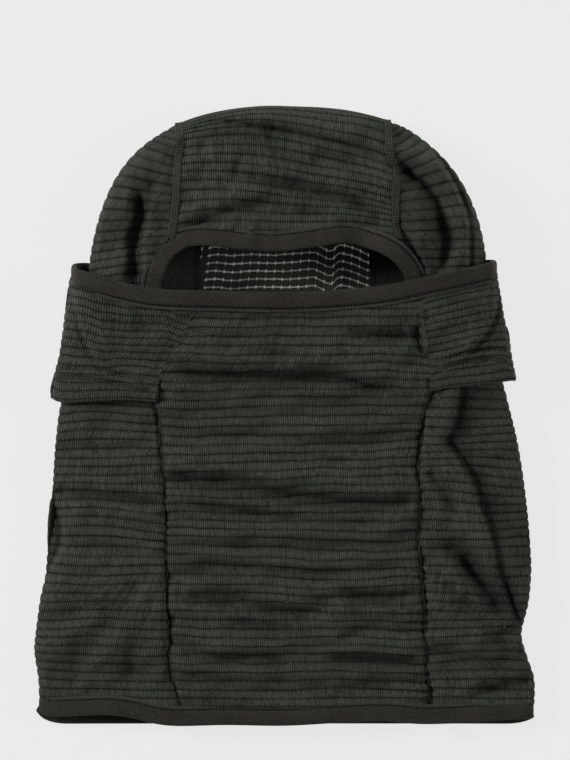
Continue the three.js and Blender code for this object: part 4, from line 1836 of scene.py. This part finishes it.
    def front_panel(self) -> None:
        """One cloth from the mask's binding to the hem, bending where the mask is pulled down."""
        shop, look = self.shop, self.shop.finish
        v, relief = shop.grid.rows(HEM_LINE, MASK_TOP)
        share = np.linspace(0, 1, 150)[None, :]
        left, right = self.left_edge.at(v)[:, None], self.right_edge.at(v)[:, None]
        x = left + (right - left) * share
        drift = 0.9 * Waves(31, 150, 60).at(x, v[:, None]) + 0.5 * Waves(34, 36, 40).at(x, v[:, None])
        y = v[:, None] + drift * self.away_from_ends(v)[:, None]
        # Folds give lift and painted shade.
        lifted, dark = self.panel_relief(x, y)
        low = smooth((24 - y) / 14)
        gathers = Ruche(59).lift(x - left, y) + Ruche(61, height=1.3, reach=9).lift(right - x, y)
        z = self.panel_height(x, y) + lifted + gathers * low
        # Painted shade along both gathered seams low on the panel, where shade falls into the gathers.
        beside = np.exp(-(((x - left) / 1.6) ** 2)) + np.exp(-(((right - x) / 1.8) ** 2))
        dark = 1 - (1 - dark) * (1 - np.clip(0.7 * low * beside, 0, 0.8))
        u = np.broadcast_to(share * self.panel_width, x.shape)
        cloth = Cloth(np.stack([x, y, z], axis=2), u, across_rows(v, x), across_rows(relief, x), dark)
        piece = cloth.solid("front_cloth", look.fleece, look.inside_side, shop.thickness)
        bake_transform(piece)
        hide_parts("mask_front_panel", "neck_front_panel")
        log.info("%s: %d faces", piece.name, len(piece.data.polygons))

    def wing_plan(self, wing: Wing, v: Array) -> tuple[Array, Array, Array, Array]:
        """Plan of a wing whose lower edge is rolled under.

        Args:
            wing: the wing's outline.
            v: fabric height of each row above the lower edge, as one column.

        Returns:
            The places in x and y, how far the edge has dropped, and each column's share of the width.
        """
        turn = np.linspace(0, 1, 78)[None, :]
        first, last = (wing.outer, wing.inner) if wing.side < 0 else (wing.inner, wing.outer)
        guess = np.maximum(v, 0.0) + 10.0
        x = first.at(guess) * (1 - turn) + last.at(guess) * turn
        base = wing.bottom.at(x)
        y = np.where(v > 0, base + v * (wing.top.at(x) - base) / self.wing_length, base - v)
        x = first.at(y) * (1 - turn) + last.at(y) * turn
        half_roll = math.pi * self.turn_radius
        under = np.clip(-v / half_roll, 0, 1) * math.pi
        drop = self.turn_radius * (np.cos(under) - 1)
        rolled = base - self.turn_radius * np.sin(under) + np.maximum(-v - half_roll, 0)
        return x, np.where(v < 0, rolled, y), drop, turn

    def wing(self, wing: Wing) -> None:
        """One side wing of the mask, with its lower edge turned under and two rows of stitches."""
        shop, look = self.shop, self.shop.finish
        v, relief = shop.grid.rows(-self.turned_under, self.wing_length)
        rows = v[:, None]
        x, y, drop, turn = self.wing_plan(wing, rows)
        rounded = 0.8 * Waves(50 + wing.side, 40, 30).at(x, y) * smooth(rows / 10)
        inland = smooth((rows - 8) / 14) * smooth((self.wing_length - rows) / 10)
        y = y + 0.9 * Waves(70 + wing.side, 30, 80).at(x, y) * inland
        outside = smooth((rows + 0.5) / 1.5)
        lift = (lift_of(wing.folds, x, y) + lift_of(wing.hem_folds, x, y)) * outside + rounded
        hem_puff = 0.9 * np.exp(-(((rows - 5) / 5) ** 2))
        near = np.exp(-(((x - wing.inner.at(y)) / 7) ** 2)) * smooth((y - 14) / 14)
        laid = (0.8 + lift) * (1 - near) + (self.panel_relief(x, y)[0] + 0.05) * near
        z = self.sheet_height(x, y) + laid + drop + hem_puff
        # The cloth's last value is the painted shade of the wing's folds and stitched rows.
        cloth = Cloth(
            np.stack([x, y, z], axis=2),
            np.broadcast_to(turn * self.wing_width, x.shape),
            across_rows(v, x),
            across_rows(relief, x),
            fold_shapes((*wing.folds, *wing.hem_folds), x, y)[1] * outside,
        )
        piece = cloth.solid(f"{wing.name}_wing_cloth", look.fleece, look.inside_side, 1.1)
        cloth.area() * MM * MM
        shop.dress(piece, MASK, "grid_fleece", f"mask_wing_{wing.name}")
        nodes = ((f"wing_seam_{wing.name}",), ())
        thread_row = StitchRow(2.0, 1.1, 0.45)
        for number, (row, replaced) in enumerate(zip(wing.rows, nodes)):
            x, y = spline(row, 60).T
            path = np.column_stack([x, y, self.sheet_height(x, y) + 0.9 + lift_of(wing.folds, x, y)])
            _, up = frame_along(path, (0.0, 1.0, 0.0))
            stitches = thread_row.lay(f"{wing.name}_wing_stitches_{number}", path, up, look.thread)
            shop.dress(stitches, MASK, "stitch_thread", *replaced)

    def binding(self) -> None:
        """Binding along the mask's top edge, rolled round at both ends."""
        shop = self.shop
        line = shop.line(self.binding_path, self.sheet_height, 260)
        path = spline(np.vstack([self.left_roll, line[::13], line[-1:], self.right_roll]), 420)
        across, up = frame_along(path, (0.0, 1.0, 0.12))
        body, lip, stitches = self.edge.build("mask_edge", path + up * 1.1, across, up, shop.finish)
        shop.dress(body, MASK, "binding_knit", "mask_binding")
        shop.dress(lip, MASK, "binding_knit")
        shop.dress(stitches, MASK, "stitch_thread", "mask_coverstitch")


# ---------------------------------------------------------------- set


@dataclass(frozen=True)
class Lamp:
    """A square soft light."""

    name: str
    energy: float
    size: float
    place: tuple[float, float, float]


@dataclass
class Studio:
    """Pale floor, soft lamps on three sides, and a camera straight above."""

    distance: float = 2.5
    frame_height: float = 0.456
    centre: tuple[float, float] = (0.0, 0.0216)
    floor_tone: float = 0.10
    floor_glow: float = 0.765
    world_light: float = 0.13
    garment_height: float = 0.02
    lamps: tuple[Lamp, ...] = (
        Lamp("key", 66.0, 0.9, (-2.6, 0.9, 1.7)),
        Lamp("right", 23.0, 0.9, (2.4, 0.2, 1.7)),
        Lamp("crown", 6.0, 0.9, (0.3, 2.6, 1.5)),
    )

    def build(self) -> None:
        """Makes the floor, the lights and the camera."""
        scene = bpy.context.scene
        scene.view_settings.view_transform = "Standard"
        scene.view_settings.look = "None"
        bpy.ops.mesh.primitive_plane_add(size=6, location=(0, 0, -0.0005))
        floor = bpy.context.object
        floor.name = "floor"
        paper = Shader("floor_paper")
        tone = self.floor_tone
        material = paper.finish((tone, tone, tone, 1), 0.9, specular=0.0)
        paper.principled.inputs["Emission Color"].default_value = (1, 1, 1, 1)
        paper.principled.inputs["Emission Strength"].default_value = self.floor_glow
        floor.data.materials.append(material)
        floor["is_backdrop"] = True
        world = bpy.data.worlds.new("soft")
        world.use_nodes = True
        sky = world.node_tree.nodes["Background"]
        sky.inputs["Color"].default_value = (1, 1, 1, 1)
        sky.inputs["Strength"].default_value = self.world_light
        scene.world = world
        for lamp in self.lamps:
            light = bpy.data.lights.new(lamp.name, "AREA")
            light.energy = lamp.energy
            light.size = lamp.size
            hung = bpy.data.objects.new(lamp.name, light)
            hung.location = lamp.place
            hung.rotation_euler = Vector(lamp.place).to_track_quat("Z", "Y").to_euler()
            scene.collection.objects.link(hung)
        camera = bpy.data.cameras.new("camera")
        camera.sensor_fit = "VERTICAL"
        camera.angle = 2 * math.atan(self.frame_height / 2 / (self.distance - self.garment_height))
        eye = bpy.data.objects.new("camera", camera)
        eye.location = (*self.centre, self.distance)
        scene.collection.objects.link(eye)
        scene.camera = eye


# ---------------------------------------------------------------- assembly


def main() -> None:
    """Builds the garment and its setting."""
    logging.basicConfig(level=logging.INFO, format="%(name)s %(message)s")
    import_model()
    shop = Workshop(LaidBag.from_frame(), Finishes())
    hood = Hood(shop)
    hood.build()
    FaceOpening(shop, hood).build()
    Neck(shop).build()
    Mask(shop).build()
    Studio().build()
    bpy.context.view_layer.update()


if __name__ == "__main__":
    main()
